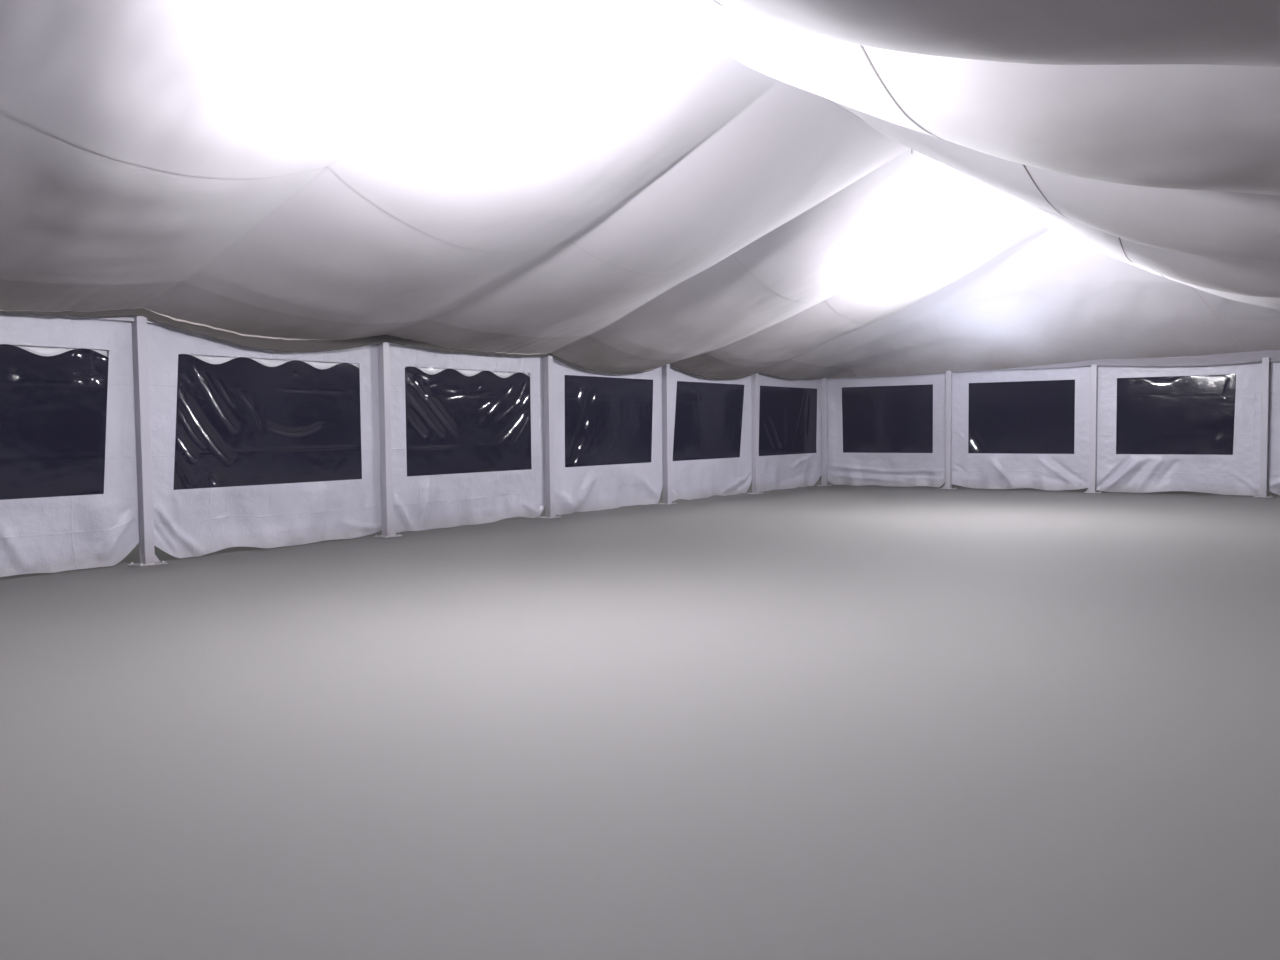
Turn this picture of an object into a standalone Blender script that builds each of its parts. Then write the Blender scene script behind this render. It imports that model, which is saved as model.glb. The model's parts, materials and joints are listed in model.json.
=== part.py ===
"""A frame marquee with hipped ends: seven bays long and four end bays wide.

White steel portal frames on base plates carry eave beams, a ridge beam and hip rafters.
Over them lies a roof cover with a scalloped valance on all four sides. Wall panels with
clear windows hang from the eave beams, and a fabric lining hangs under the rafters.
X runs across the tent, Y along it with the far end at +Y, and Z is up from the ground.
Units are metres, and the origin is on the ground in the middle of the tent.
"""

import math

import bpy

# Plan
BAY_LENGTH = 3.0  # between two portal frames, centre to centre
BAYS = 7
END_BAY_WIDTH = 2.7  # between two legs of an end wall
END_BAYS = 4

# Frame
LEG = 0.10  # side of a square leg, and width of a portal's rafter
LEG_HEIGHT = 2.35  # ground to the underside of the eave beams
BEAM_HEIGHT = 0.12
BEAM_WIDTH = 0.05
RISE = 2.03  # from the eave beams' top to the rafters' underside at the ridge
RAFTER_DEPTH = 0.13  # upright
HIP_RAFTER_WIDTH = 0.08
RIDGE_BEAM_WIDTH = 0.08
PLATE_LENGTH = 0.28  # along the wall
PLATE_WIDTH = 0.22  # across the wall
PLATE_THICKNESS = 0.012

# Covers
ROOF_THICKNESS = 0.010
OVERHANG = 0.12  # of the roof past the side walls
VALANCE_THICKNESS = 0.006
VALANCE_DROP = 0.525  # from the roof's edge to the mean of the scalloped edge
SCALLOP_DEPTH = 0.045  # to each side of the mean
SCALLOPS_PER_BAY = 4.5
POINTS_PER_SCALLOP = 4

# Walls
WALL_THICKNESS = 0.006
WALL_BOTTOM = 0.016
WALL_LAP = 0.11  # of the wall over the eave beam, from the beam's underside up
WINDOW_MARGIN = 0.35  # from a window's side to the bay's line
WINDOW_HEIGHT = 1.38
WINDOW_DROP = 0.26  # from the eave beam's underside to the window's head
SHEET_THICKNESS = 0.003  # the clear sheet behind the windows
SHEET_LAP = 0.03  # of the clear sheet over the windows' edges

# Lining
LINING_THICKNESS = 0.006
LINING_HANG = 0.12  # below the rafters
LINING_HANG_EAVE = 0.06
LINING_HANG_CHANGE = 1.0  # from the eave inwards, where the hang changes
BELLY_LEFT = (0.40, 0.40, 0.41, 0.60, 0.47)  # depth in the middle of each bay, near to far
BELLY_RIGHT = (0.48, 0.46, 0.60, 0.60, 0.42)
BELLY_HIP = 0.12
HIP_ROUNDING = 0.6  # how far the lining's hips are rounded off
HEM_SWAG = 0.08  # of the lining's hem between the end legs
HEM_DROP_AT_END = 0.03  # of the lining's hem below the end beam's top
STEPS_ALONG = 6  # of the lining's mesh in each bay
STEPS_ACROSS = 8  # of the lining's mesh over one slope

GAP = 0.0003  # between pieces that touch

# Derived sizes
HALF_WIDTH = END_BAY_WIDTH * END_BAYS / 2
HALF_LENGTH = BAY_LENGTH * BAYS / 2
OUTER_X = HALF_WIDTH + LEG / 2  # the legs' outer faces
OUTER_Y = HALF_LENGTH + LEG / 2
INNER_X = HALF_WIDTH - LEG / 2
INNER_Y = HALF_LENGTH - LEG / 2
RIDGE_Y = HALF_LENGTH - BAY_LENGTH + LEG / 2  # the outer face of the last portal frame
BEAM_TOP = LEG_HEIGHT + BEAM_HEIGHT
WALL_TOP = LEG_HEIGHT + WALL_LAP
WINDOW_HEAD = LEG_HEIGHT - WINDOW_DROP
WINDOW_SILL = WINDOW_HEAD - WINDOW_HEIGHT
SIDE_SLOPE = RISE / OUTER_X
HIP_SLOPE = RISE / (OUTER_Y - RIDGE_Y)
EAVE_UNDERSIDE = BEAM_TOP + RAFTER_DEPTH + 2 * GAP  # roof cover's underside over the legs' outer faces
VALANCE_TOP = EAVE_UNDERSIDE - SIDE_SLOPE * OVERHANG - GAP
VALANCE_BOTTOM = VALANCE_TOP - VALANCE_DROP
OUT_X = OUTER_X + OVERHANG
OUT_Y = OUTER_Y + OVERHANG * SIDE_SLOPE / HIP_SLOPE

FRAME_WHITE = (0.78, 0.78, 0.80, 1.0)
WALL_WHITE = (0.62, 0.60, 0.68, 1.0)
ROOF_WHITE = (0.72, 0.72, 0.74, 1.0)
LINING_WHITE = (0.60, 0.59, 0.60, 1.0)
CLEAR_DARK = (0.02, 0.02, 0.04, 1.0)


def clear_scene():
    for obj in list(bpy.data.objects):
        bpy.data.objects.remove(obj, do_unlink=True)


def make_material(name, colour, roughness, metallic=0.0):
    material = bpy.data.materials.new(name)
    material.use_nodes = True
    shader = material.node_tree.nodes["Principled BSDF"]
    shader.inputs["Base Color"].default_value = colour
    shader.inputs["Roughness"].default_value = roughness
    shader.inputs["Metallic"].default_value = metallic
    material.diffuse_color = colour
    return material


def add_object(name, points, faces, material):
    mesh = bpy.data.meshes.new(name)
    mesh.from_pydata(points, [], faces)
    mesh.materials.append(material)
    obj = bpy.data.objects.new(name, mesh)
    bpy.context.collection.objects.link(obj)
    return obj


def prism(name, outline, base, top, material):
    """A solid on a plan outline, listed anticlockwise from above, between two heights given as functions."""
    count = len(outline)
    points = [(x, y, base(x, y)) for x, y in outline] + [(x, y, top(x, y)) for x, y in outline]
    faces = [tuple(reversed(range(count))), tuple(range(count, 2 * count))]
    for i in range(count):
        j = (i + 1) % count
        faces.append((i, j, count + j, count + i))
    return add_object(name, points, faces, material)


def box(name, low, high, material):
    outline = [(low[0], low[1]), (high[0], low[1]), (high[0], high[1]), (low[0], high[1])]
    return prism(name, outline, lambda x, y: low[2], lambda x, y: high[2], material)


def fused(name, pieces):
    """One object from overlapping pieces, by Boolean unions that are applied."""
    first = pieces[0]
    for other in pieces[1:]:
        union = first.modifiers.new("union", "BOOLEAN")
        union.operation = "UNION"
        union.object = other
    graph = bpy.context.evaluated_depsgraph_get()
    mesh = bpy.data.meshes.new_from_object(first.evaluated_get(graph))
    first.modifiers.clear()
    first.data = mesh
    first.name = name
    mesh.name = name
    for other in pieces[1:]:
        bpy.data.objects.remove(other, do_unlink=True)
    return first


def base_plate(x, y, along_x, material):
    half_x = (PLATE_LENGTH if along_x else PLATE_WIDTH) / 2
    half_y = (PLATE_WIDTH if along_x else PLATE_LENGTH) / 2
    return box("plate", (x - half_x, y - half_y, 0), (x + half_x, y + half_y, PLATE_THICKNESS), material)


def rafter_underside(x):
    return BEAM_TOP + GAP + SIDE_SLOPE * (OUTER_X - abs(x))


def portal_outline():
    """The right half of a portal frame, from the leg's inner foot out and up to the ridge and back."""
    lap = OUTER_X - BEAM_WIDTH - GAP  # the leg's inner part passes the beam
    flat = RIDGE_BEAM_WIDTH / 2
    return [
        (INNER_X, 0),
        (OUTER_X, 0),
        (OUTER_X, LEG_HEIGHT - GAP),
        (lap, LEG_HEIGHT - GAP),
        (lap, BEAM_TOP + GAP),
        (OUTER_X, BEAM_TOP + GAP),
        (OUTER_X, rafter_underside(OUTER_X) + RAFTER_DEPTH),
        (0, rafter_underside(0) + RAFTER_DEPTH),
        (flat, rafter_underside(flat)),
        (INNER_X, rafter_underside(INNER_X)),
    ]


def portal_frame(name, y, material):
    """Two legs and two rafters in one welded frame, extruded along Y, with its base plates."""
    right = portal_outline()
    outer, inner = right[:8], right[8:]
    left = [(-x, z) for x, z in reversed(outer[:-1])] + [(-x, z) for x, z in reversed(inner)]
    outline = outer + left + inner
    count = len(outline)
    near = [(x, y - LEG / 2, z) for x, z in outline]
    far = [(x, y + LEG / 2, z) for x, z in outline]
    faces = [tuple(range(count)), tuple(reversed(range(count, 2 * count)))]
    for i in range(count):
        j = (i + 1) % count
        faces.append((j, i, count + i, count + j))
    frame = add_object(name, near + far, faces, material)
    plates = [base_plate(side * HALF_WIDTH, y, False, material) for side in (-1, 1)]
    return fused(name, [frame] + plates)


def leg(name, x, y, along_x, material):
    half = LEG / 2
    post = box(name, (x - half, y - half, 0), (x + half, y + half, LEG_HEIGHT - GAP), material)
    return fused(name, [post, base_plate(x, y, along_x, material)])


def eave_beams(material):
    inner_x = OUTER_X - BEAM_WIDTH
    inner_y = OUTER_Y - BEAM_WIDTH
    for side, name in ((-1, "left"), (1, "right")):
        xs = sorted((side * inner_x, side * OUTER_X))
        box("eave_beam_" + name, (xs[0], -OUTER_Y, LEG_HEIGHT), (xs[1], OUTER_Y, BEAM_TOP), material)
    for side, name in ((-1, "near"), (1, "far")):
        ys = sorted((side * inner_y, side * OUTER_Y))
        end = inner_x - GAP
        box("eave_beam_" + name, (-end, ys[0], LEG_HEIGHT), (end, ys[1], BEAM_TOP), material)


def roof_underside(x, y):
    """The roof cover's underside, which is the lower of its side slope and its hip slope."""
    side = EAVE_UNDERSIDE + SIDE_SLOPE * (OUTER_X - abs(x))
    hip = EAVE_UNDERSIDE + HIP_SLOPE * (OUTER_Y - abs(y))
    return min(side, hip)


def rafter_top(x, y):
    return roof_underside(x, y) - GAP


def rafter_base(x, y):
    return rafter_top(x, y) - RAFTER_DEPTH


def mirrored(outline, sx, sy):
    """The outline turned to another quarter of the plan, still anticlockwise."""
    points = [(sx * x, sy * y) for x, y in outline]
    return points if sx * sy > 0 else points[::-1]


def hip_rafter(name, sx, sy, material):
    """A rafter under a hip of the roof, as two strips that each follow one slope, fused along the hip."""
    run = math.hypot(OUTER_X, OUTER_Y - RIDGE_Y)
    across_x = (OUTER_Y - RIDGE_Y) / run * HIP_RAFTER_WIDTH / 2
    across_y = OUTER_X / run * HIP_RAFTER_WIDTH / 2
    rate = (OUTER_Y - RIDGE_Y) / OUTER_X  # of y against x along the hip
    start_x = HIP_RAFTER_WIDTH / 2 + GAP  # beside the jack rafter
    start_y = RIDGE_Y + GAP  # against the last portal frame
    foot_x = OUTER_X - across_y * HIP_SLOPE / SIDE_SLOPE
    foot_y = RIDGE_Y + foot_x * rate
    side_meets = across_x + across_y / rate
    side_strip = [
        (start_x, start_y),
        (side_meets + GAP / rate, start_y),
        (foot_x + across_x, foot_y - across_y),
        (foot_x, foot_y),
        (start_x, RIDGE_Y + start_x * rate),
    ]
    hip_strip = [
        (start_x, RIDGE_Y + start_x * rate),
        (foot_x, foot_y),
        (foot_x - across_x, foot_y + across_y),
        (start_x, RIDGE_Y + across_y + (start_x + across_x) * rate),
    ]
    points = []
    index = {}
    for strip in (side_strip, hip_strip):
        for corner in strip:
            if corner not in index:
                index[corner] = len(points) // 2
                x, y = sx * corner[0], sy * corner[1]
                points += [(x, y, rafter_base(x, y)), (x, y, rafter_top(x, y))]
    strips = [[index[corner] for corner in strip] for strip in (side_strip, hip_strip)]
    faces = []
    for strip in strips:
        faces.append([2 * i + 1 for i in strip])
        faces.append([2 * i for i in reversed(strip)])
    shared = {frozenset((strips[1][0], strips[1][1]))}
    for strip in strips:
        for i, j in zip(strip, strip[1:] + strip[:1]):
            if frozenset((i, j)) not in shared:
                faces.append([2 * i, 2 * j, 2 * j + 1, 2 * i + 1])
    if sx * sy < 0:
        faces = [face[::-1] for face in faces]
    return add_object(name, points, faces, material)


def jack_rafter(name, sy, material):
    half = HIP_RAFTER_WIDTH / 2
    outline = [(-half, RIDGE_Y + GAP), (half, RIDGE_Y + GAP), (half, OUTER_Y), (-half, OUTER_Y)]
    return prism(name, mirrored(outline, 1, sy), rafter_base, rafter_top, material)


def ridge_beam(material):
    half = RIDGE_BEAM_WIDTH / 2
    bottom = lining_height(0, 0) + LINING_THICKNESS + GAP
    top = rafter_underside(half) - GAP
    return box("ridge_beam", (-half, -RIDGE_Y, bottom), (half, RIDGE_Y, top), material)


def roof_covers(material):
    """Two side slopes and two hips, cut apart along upright joints on the hips and the ridge."""

    def top(x, y):
        return roof_underside(x, y) + ROOF_THICKNESS

    slope = [(GAP, GAP - RIDGE_Y), (OUT_X, GAP - OUT_Y), (OUT_X, OUT_Y - GAP), (GAP, RIDGE_Y - GAP)]
    for sx, name in ((-1, "left"), (1, "right")):
        prism("roof_" + name, mirrored(slope, sx, 1), roof_underside, top, material)
    hip = [(0, RIDGE_Y + GAP), (OUT_X - GAP, OUT_Y), (GAP - OUT_X, OUT_Y)]
    for sy, name in ((-1, "near"), (1, "far")):
        prism("roof_" + name, mirrored(hip, 1, sy), roof_underside, top, material)


def scallop_height(along):
    """Height of the valance's edge at a distance from the start of its bay, lowest in the bay's middle."""
    turn = (along / BAY_LENGTH - 0.5) * SCALLOPS_PER_BAY
    return VALANCE_BOTTOM - SCALLOP_DEPTH * math.cos(2 * math.pi * turn)


def scalloped_edge(length, bay):
    """Points (distance, height) along the edge, bay by bay, with the wave started anew in each bay."""
    bays = round((length - 2 * (OUT_X - HALF_WIDTH)) / bay)
    start = (length - bays * bay) / 2
    steps = round(SCALLOPS_PER_BAY * POINTS_PER_SCALLOP)
    edge = [(0.0, scallop_height(-start))]
    for i in range(bays):
        for k in range(steps):
            along = bay * (k + 0.5) / steps
            edge.append((start + i * bay + along, scallop_height(along * BAY_LENGTH / bay)))
    edge.append((length, scallop_height(BAY_LENGTH + start)))
    return edge


def valance(name, along_x, side, material):
    """A hanging strip under the roof's edge, with a scalloped lower edge."""
    outer = OUT_Y if along_x else OUT_X
    half = OUT_X if along_x else OUT_Y - VALANCE_THICKNESS - GAP
    edge = scalloped_edge(2 * half, END_BAY_WIDTH if along_x else BAY_LENGTH)
    points = []
    for face in (outer - VALANCE_THICKNESS, outer):
        for along, height in edge:
            for z in (height, VALANCE_TOP):
                a = along - half
                points.append((a, side * face, z) if along_x else (side * face, a, z))
    count = 2 * len(edge)
    faces = []
    for i in range(len(edge) - 1):
        a, b, c, d = 2 * i, 2 * i + 1, 2 * i + 3, 2 * i + 2
        faces.append((a, b, c, d))
        faces.append((count + d, count + c, count + b, count + a))
        faces.append((a, d, count + d, count + a))
        faces.append((b, count + b, count + c, c))
    faces.append((0, count, count + 1, 1))
    last = count - 2
    faces.append((last, last + 1, count + last + 1, count + last))
    if (side > 0) == along_x:
        faces = [face[::-1] for face in faces]
    return add_object(name, points, faces, material)


def window_wall(name, along_x, side, start, bay, bays, material):
    """A run of wall panels hung on the eave beam's outer face, with a window cut in each."""
    inner = (OUTER_Y if along_x else OUTER_X) + GAP
    outer = inner + WALL_THICKNESS
    reach = OUTER_X + GAP + WALL_THICKNESS if along_x else OUTER_Y
    first = -reach if start < LEG - reach else start
    last = reach if start + bay * bays > reach - LEG else start + bay * bays

    def place(along, depth, z):
        return (along, side * depth, z) if along_x else (side * depth, along, z)

    columns = [first]
    for i in range(bays):
        columns += [start + i * bay + WINDOW_MARGIN, start + (i + 1) * bay - WINDOW_MARGIN]
    columns.append(last)
    rows = [WALL_BOTTOM, WINDOW_SILL, WINDOW_HEAD, WALL_TOP]
    points = [place(a, depth, z) for depth in (inner, outer) for a in columns for z in rows]
    across = len(rows)
    back = len(columns) * across
    solid = {(i, j) for i in range(len(columns) - 1) for j in range(across - 1) if j != 1 or i % 2 == 0}
    faces = []
    for i, j in sorted(solid):
        a = i * across + j
        b, c, d = a + 1, a + across + 1, a + across
        faces.append((a, b, c, d))
        faces.append((back + d, back + c, back + b, back + a))
        beside = (((i, j - 1), (d, a)), ((i, j + 1), (b, c)), ((i - 1, j), (a, b)), ((i + 1, j), (c, d)))
        for other, ends in beside:
            if other not in solid:
                faces.append((ends[1], ends[0], back + ends[0], back + ends[1]))
    if (side > 0) == along_x:
        faces = [face[::-1] for face in faces]
    return add_object(name, points, faces, material)


def window_sheet(name, along_x, side, start, bay, bays, material):
    """The clear sheet that closes a run of windows from outside."""
    inner = (OUTER_Y if along_x else OUTER_X) + WALL_THICKNESS + 2 * GAP
    near, far = sorted((side * inner, side * (inner + SHEET_THICKNESS)))
    first = start + WINDOW_MARGIN - SHEET_LAP
    last = start + bay * bays - WINDOW_MARGIN + SHEET_LAP
    bottom = WINDOW_SILL - SHEET_LAP
    top = WINDOW_HEAD + SHEET_LAP
    if along_x:
        return box(name, (first, near, bottom), (last, far, top), material)
    return box(name, (near, first, bottom), (far, last, top), material)


def lining_height(x, y):
    """The lining's underside where a portal frame carries it."""
    eave = INNER_X - GAP
    change = min(1.0, (eave - abs(x)) / LINING_HANG_CHANGE)
    hang = LINING_HANG_EAVE + (LINING_HANG - LINING_HANG_EAVE) * change
    return rafter_underside(x) - GAP - hang


def belly_share(x):
    """The share of a bay's belly that hangs here: none at the ridge, some at the eave."""
    return math.sin(math.pi * math.sqrt(0.75 * abs(x) / (INNER_X - GAP)))


def slope_lining_height(x, y):
    depths = BELLY_LEFT if x < 0 else BELLY_RIGHT
    along = (y + HALF_LENGTH - BAY_LENGTH) / BAY_LENGTH
    bay = min(max(int(along), 0), BAYS - 3)
    t = along - bay
    return lining_height(x, y) - depths[bay % len(depths)] * belly_share(x) * 4 * t * (1 - t)


def hip_lining_height(x, y):
    """The lining over a hip, from the last portal frame down to the end beam, with its hips rounded off."""
    out = (abs(y) - (HALF_LENGTH - BAY_LENGTH)) / (OUTER_Y - BEAM_WIDTH - (HALF_LENGTH - BAY_LENGTH))
    out = min(max(out, 0.0), 1.0)
    side = lining_height(x, y)
    between = 4 * (abs(x) / END_BAY_WIDTH % 1) * (1 - abs(x) / END_BAY_WIDTH % 1)
    foot = BEAM_TOP - HEM_DROP_AT_END - HEM_SWAG * between
    hip = lining_height(0, 0) + (foot - lining_height(0, 0)) * out
    rounding = HIP_ROUNDING * min(1.0, 3 * out) * min(1.0, 3 * (1 - out))
    near = max(rounding - abs(side - hip), 0.0)
    low = min(side, hip) - (near * near / (4 * rounding) if rounding > 0 else 0.0)
    return low - BELLY_HIP * 4 * out * (1 - out)


def hung_sheet(name, xs, ys, height, material):
    """A sheet with thickness over a grid of plan points."""
    across = len(ys)
    count = len(xs) * across
    points = [(x, y, height(x, y)) for x in xs for y in ys]
    points += [(x, y, z + LINING_THICKNESS) for x, y, z in points]
    faces = []
    for i in range(len(xs) - 1):
        for j in range(across - 1):
            a, b = i * across + j, (i + 1) * across + j
            faces.append((a, a + 1, b + 1, b))
            faces.append((count + a, count + b, count + b + 1, count + a + 1))
    rim = [i * across for i in range(len(xs))]
    rim += [(len(xs) - 1) * across + j for j in range(1, across)]
    rim += [i * across + across - 1 for i in reversed(range(len(xs) - 1))]
    rim += list(reversed(range(1, across - 1)))
    for a, b in zip(rim, rim[1:] + rim[:1]):
        faces.append((a, b, count + b, count + a))
    return add_object(name, points, faces, material)


def linings(material):
    eave = INNER_X - GAP
    end = HALF_LENGTH - BAY_LENGTH
    inner_end = OUTER_Y - BEAM_WIDTH - GAP
    rows = (BAYS - 2) * STEPS_ALONG
    ys = [-end + GAP + 2 * (end - GAP) * j / rows for j in range(rows + 1)]
    out = [GAP + (eave - GAP) * i / STEPS_ACROSS for i in range(STEPS_ACROSS + 1)]
    hung_sheet("lining_left", [-x for x in reversed(out)], ys, slope_lining_height, material)
    hung_sheet("lining_right", out, ys, slope_lining_height, material)
    steps = 2 * STEPS_ACROSS
    across = [-eave + 2 * eave * i / steps for i in range(steps + 1)]
    along = [end + GAP + (inner_end - end - GAP) * j / STEPS_ALONG for j in range(STEPS_ALONG + 1)]
    hung_sheet("lining_far", across, along, hip_lining_height, material)
    hung_sheet("lining_near", across, [-y for y in reversed(along)], hip_lining_height, material)


def frame(material):
    for i in range(1, BAYS):
        portal_frame("portal_frame_%d" % i, BAY_LENGTH * i - HALF_LENGTH, material)
    for sy, end in ((-1, "near"), (1, "far")):
        for i in range(1, END_BAYS):
            x = END_BAY_WIDTH * i - HALF_WIDTH
            leg("end_leg_%s_%d" % (end, i), x, sy * HALF_LENGTH, True, material)
        for sx, side in ((-1, "left"), (1, "right")):
            leg("corner_leg_%s_%s" % (end, side), sx * HALF_WIDTH, sy * HALF_LENGTH, False, material)
            hip_rafter("hip_rafter_%s_%s" % (end, side), sx, sy, material)
        jack_rafter("jack_rafter_" + end, sy, material)
    eave_beams(material)
    ridge_beam(material)


def walls(panel, clear):
    """Full runs of panels on the two sides and the far end, and one panel each side of the near entrance."""
    runs = [
        ("left", False, -1, -HALF_LENGTH, BAY_LENGTH, BAYS),
        ("right", False, 1, -HALF_LENGTH, BAY_LENGTH, BAYS),
        ("far", True, 1, -HALF_WIDTH, END_BAY_WIDTH, END_BAYS),
        ("near_left", True, -1, -HALF_WIDTH, END_BAY_WIDTH, 1),
        ("near_right", True, -1, HALF_WIDTH - END_BAY_WIDTH, END_BAY_WIDTH, 1),
    ]
    for name, along_x, side, start, bay, bays in runs:
        window_wall("wall_" + name, along_x, side, start, bay, bays, panel)
        window_sheet("windows_" + name, along_x, side, start, bay, bays, clear)


def main():
    clear_scene()
    white_steel = make_material("white_steel", FRAME_WHITE, 0.45)
    wall_pvc = make_material("wall_pvc", WALL_WHITE, 0.55)
    roof_pvc = make_material("roof_pvc", ROOF_WHITE, 0.5)
    clear_pvc = make_material("clear_pvc", CLEAR_DARK, 0.12)
    lining_cloth = make_material("lining_cloth", LINING_WHITE, 0.85)
    frame(white_steel)
    roof_covers(roof_pvc)
    for name, side in (("left", -1), ("right", 1)):
        valance("valance_" + name, False, side, roof_pvc)
    for name, side in (("near", -1), ("far", 1)):
        valance("valance_" + name, True, side, roof_pvc)
    walls(wall_pvc, clear_pvc)
    linings(lining_cloth)


main()
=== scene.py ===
"""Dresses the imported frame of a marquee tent: cloths, windows and steelwork, in a studio, seen from inside.

Everything is in metres in the frame's own axes: X across the tent, Y along it with the far end at +Y, Z up.
"""

import json
import math

import bmesh
import bpy
import numpy as np
from mathutils import Matrix, Vector


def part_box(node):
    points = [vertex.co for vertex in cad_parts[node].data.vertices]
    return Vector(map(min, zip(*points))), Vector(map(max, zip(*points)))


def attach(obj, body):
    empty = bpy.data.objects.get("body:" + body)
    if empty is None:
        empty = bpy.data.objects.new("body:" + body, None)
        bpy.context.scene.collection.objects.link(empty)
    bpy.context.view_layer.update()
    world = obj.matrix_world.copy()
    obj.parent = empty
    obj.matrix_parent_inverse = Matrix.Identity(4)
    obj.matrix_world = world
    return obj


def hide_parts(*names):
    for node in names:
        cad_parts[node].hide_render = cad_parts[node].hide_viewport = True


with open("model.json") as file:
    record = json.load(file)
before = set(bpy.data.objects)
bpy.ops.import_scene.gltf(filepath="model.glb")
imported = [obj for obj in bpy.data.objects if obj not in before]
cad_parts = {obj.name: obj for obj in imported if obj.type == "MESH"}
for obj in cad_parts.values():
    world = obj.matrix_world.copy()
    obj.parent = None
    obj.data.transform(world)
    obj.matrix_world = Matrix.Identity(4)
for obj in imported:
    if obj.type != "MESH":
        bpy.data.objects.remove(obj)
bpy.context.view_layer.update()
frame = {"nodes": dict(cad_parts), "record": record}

bl_info = {
    "name": "Marquee tent",
    "version": (1, 0, 0),
    "blender": (4, 5, 0),
    "location": "View3D > Sidebar > Marquee",
    "description": "Builds the cloths, windows and steelwork of a marquee tent around its frame",
    "category": "Add Mesh",
}

BODY = "root"


def middle(node):
    low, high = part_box(node)
    return (low + high) / 2


# Places read from the frame
BAY = middle("portal_frame_2").y - middle("portal_frame_1").y
BAYS = 7
HALF_LENGTH = middle("corner_leg_far_right").y
HALF_WIDTH = middle("corner_leg_far_right").x
END_BAY = middle("end_leg_far_3").x
END_BAYS = 4
FRAME_YS = [middle("portal_frame_%d" % i).y for i in range(1, BAYS)]
END_LEG_XS = [-END_BAY, 0.0, END_BAY]
LAST_FRAME = FRAME_YS[-1]
LEG = 2 * (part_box("eave_beam_right")[1].x - HALF_WIDTH)
OUTER_X = HALF_WIDTH + LEG / 2
OUTER_Y = HALF_LENGTH + LEG / 2
BEAM_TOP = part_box("eave_beam_left")[1].z
LINING_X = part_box("lining_right")[1].x
LINING_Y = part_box("lining_far")[1].y
LINING_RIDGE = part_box("ridge_beam")[0].z - 0.0063  # a lining's thickness and the gap below the beam
ROOF_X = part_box("roof_right")[1].x
ROOF_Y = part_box("roof_far")[1].y
ROOF_THICKNESS = 0.010
RAFTER_DEPTH = 0.13
RIDGE_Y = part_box("ridge_beam")[1].y
SIDE_SLOPE = (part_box("portal_frame_1")[1].z - RAFTER_DEPTH - BEAM_TOP) / OUTER_X
HIP_SLOPE = SIDE_SLOPE * OUTER_X / (OUTER_Y - RIDGE_Y)
VALANCE_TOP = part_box("valance_left")[1].z
VALANCE_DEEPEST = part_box("valance_left")[0].z

# Length of cloth up a slope for each metre in plan
LINING_SIDE_RUN, LINING_END_RUN = 1.06, 1.15
ROOF_SIDE_RUN, ROOF_END_RUN = 1.067, 1.2

# Steelwork and cloths
STEEL_ROUNDING = 0.005
TOUCH = 0.0003  # the gap between pieces that touch
PLATE_TOP = 0.0125  # of a base plate, with the gap
PIN_ACROSS, PIN_ALONG, PIN_HEIGHT = 0.08, 0.11, 0.016
ROOF_CLOTH = 0.002  # thickness of the roof cover and the valance
PAST_SIDE = 99.0  # a distance along a side that lies beyond its end
WALL_STEP = 0.028  # spacing of the wall panels' mesh
HEM_HEIGHT = 0.016  # of the walls' lower edge above the ground, where it isn't lifted
FOLD_LEVELS = (0.36, 1.08, 1.46, 1.79)  # heights of the creases along each panel, from its storage
WAVES = 14  # sine waves summed for one soft noise

# Lining of each slope, from the near end. In the middle of each bay: the belly's depth, how far the edge
# dips, and the hem band's height as a share of its full height. At each portal frame: how far the lining
# hangs below the rafter half way up, and at its edge. The seam's place is its x.
LINING_LEFT = {
    "belly": (0.36, 0.35, 0.36, 0.27, 0.32),
    "flat": (0.0, 0.0, 0.0, 0.40, 0.20),  # where the belly starts, as a share of the way down from the ridge
    "dip": (0.12, 0.17, 0.08, 0.23, 0.19),
    "hang": (0.10, 0.06, 0.24, 0.05, 0.28, 0.10),
    "edge": (0.0, -0.03, 0.02, 0.09, 0.08, 0.13),
    "hem": (0.06, 1.45, 0.4, 0.3, 0.25),
    "seam": -2.45,
}
LINING_RIGHT = {
    "belly": (0.53, 0.48, 0.55, 0.60, 0.45),
    "sharpness": (1.0, 1.0, 1.6, 1.6, 1.3),  # a power that draws the belly in towards its deepest place
    "dip": (0.17, 0.15, 0.20, 0.16, 0.18),
    "hang": (0.05, 0.05, 0.05, 0.05, 0.05, 0.05),
    "edge": (0.0, 0.02, 0.03, 0.0, 0.04, 0.02),
    "hem": (0.5, 0.8, 0.4, 0.6, 0.5),
    "seam": 1.95,
}
LINING_HANG = 0.12  # below the rafters
LINING_HANG_EAVE = 0.06
SEAM_EAVE = 4.62  # x of the seam along each eave
TIE_TOP = 4.33
# Pale tape on the lining's edge along a side: a place along it and the tape's height there
EDGING = (
    (-4.5, 0.002), (-4.2, 0.020), (-2.9, 0.016), (-2.2, 0.003),
    (0.3, 0.003), (0.6, 0.010), (1.3, 0.012), (1.45, 0.003),
    (3.5, 0.003), (3.8, 0.010), (4.3, 0.010), (4.45, 0.003),
    (6.5, 0.003), (6.8, 0.008), (7.3, 0.008), (7.45, 0.003),
)
# Lining of the ends
BELLY_HIP = 0.12
HIP_ROUNDING = 0.6
HEM_DROP_AT_END = 0.03
HEM_SWAG = 0.03
EDGE_FAR = (0.13, 0.12, 0.0, -0.03, 0.0)  # how far the far end's edge hangs at each leg, left to right
HEM_FAR = (0.25, 0.15, 0.2, 1.2, 2.0, 2.0, 2.0)  # height of its hem band, as a share of the full height
FAR_SEAM, FAR_SEAM_TURN = 1.50, 0.30  # x where the far end's seam starts, and how far it moves a metre of Y

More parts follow.
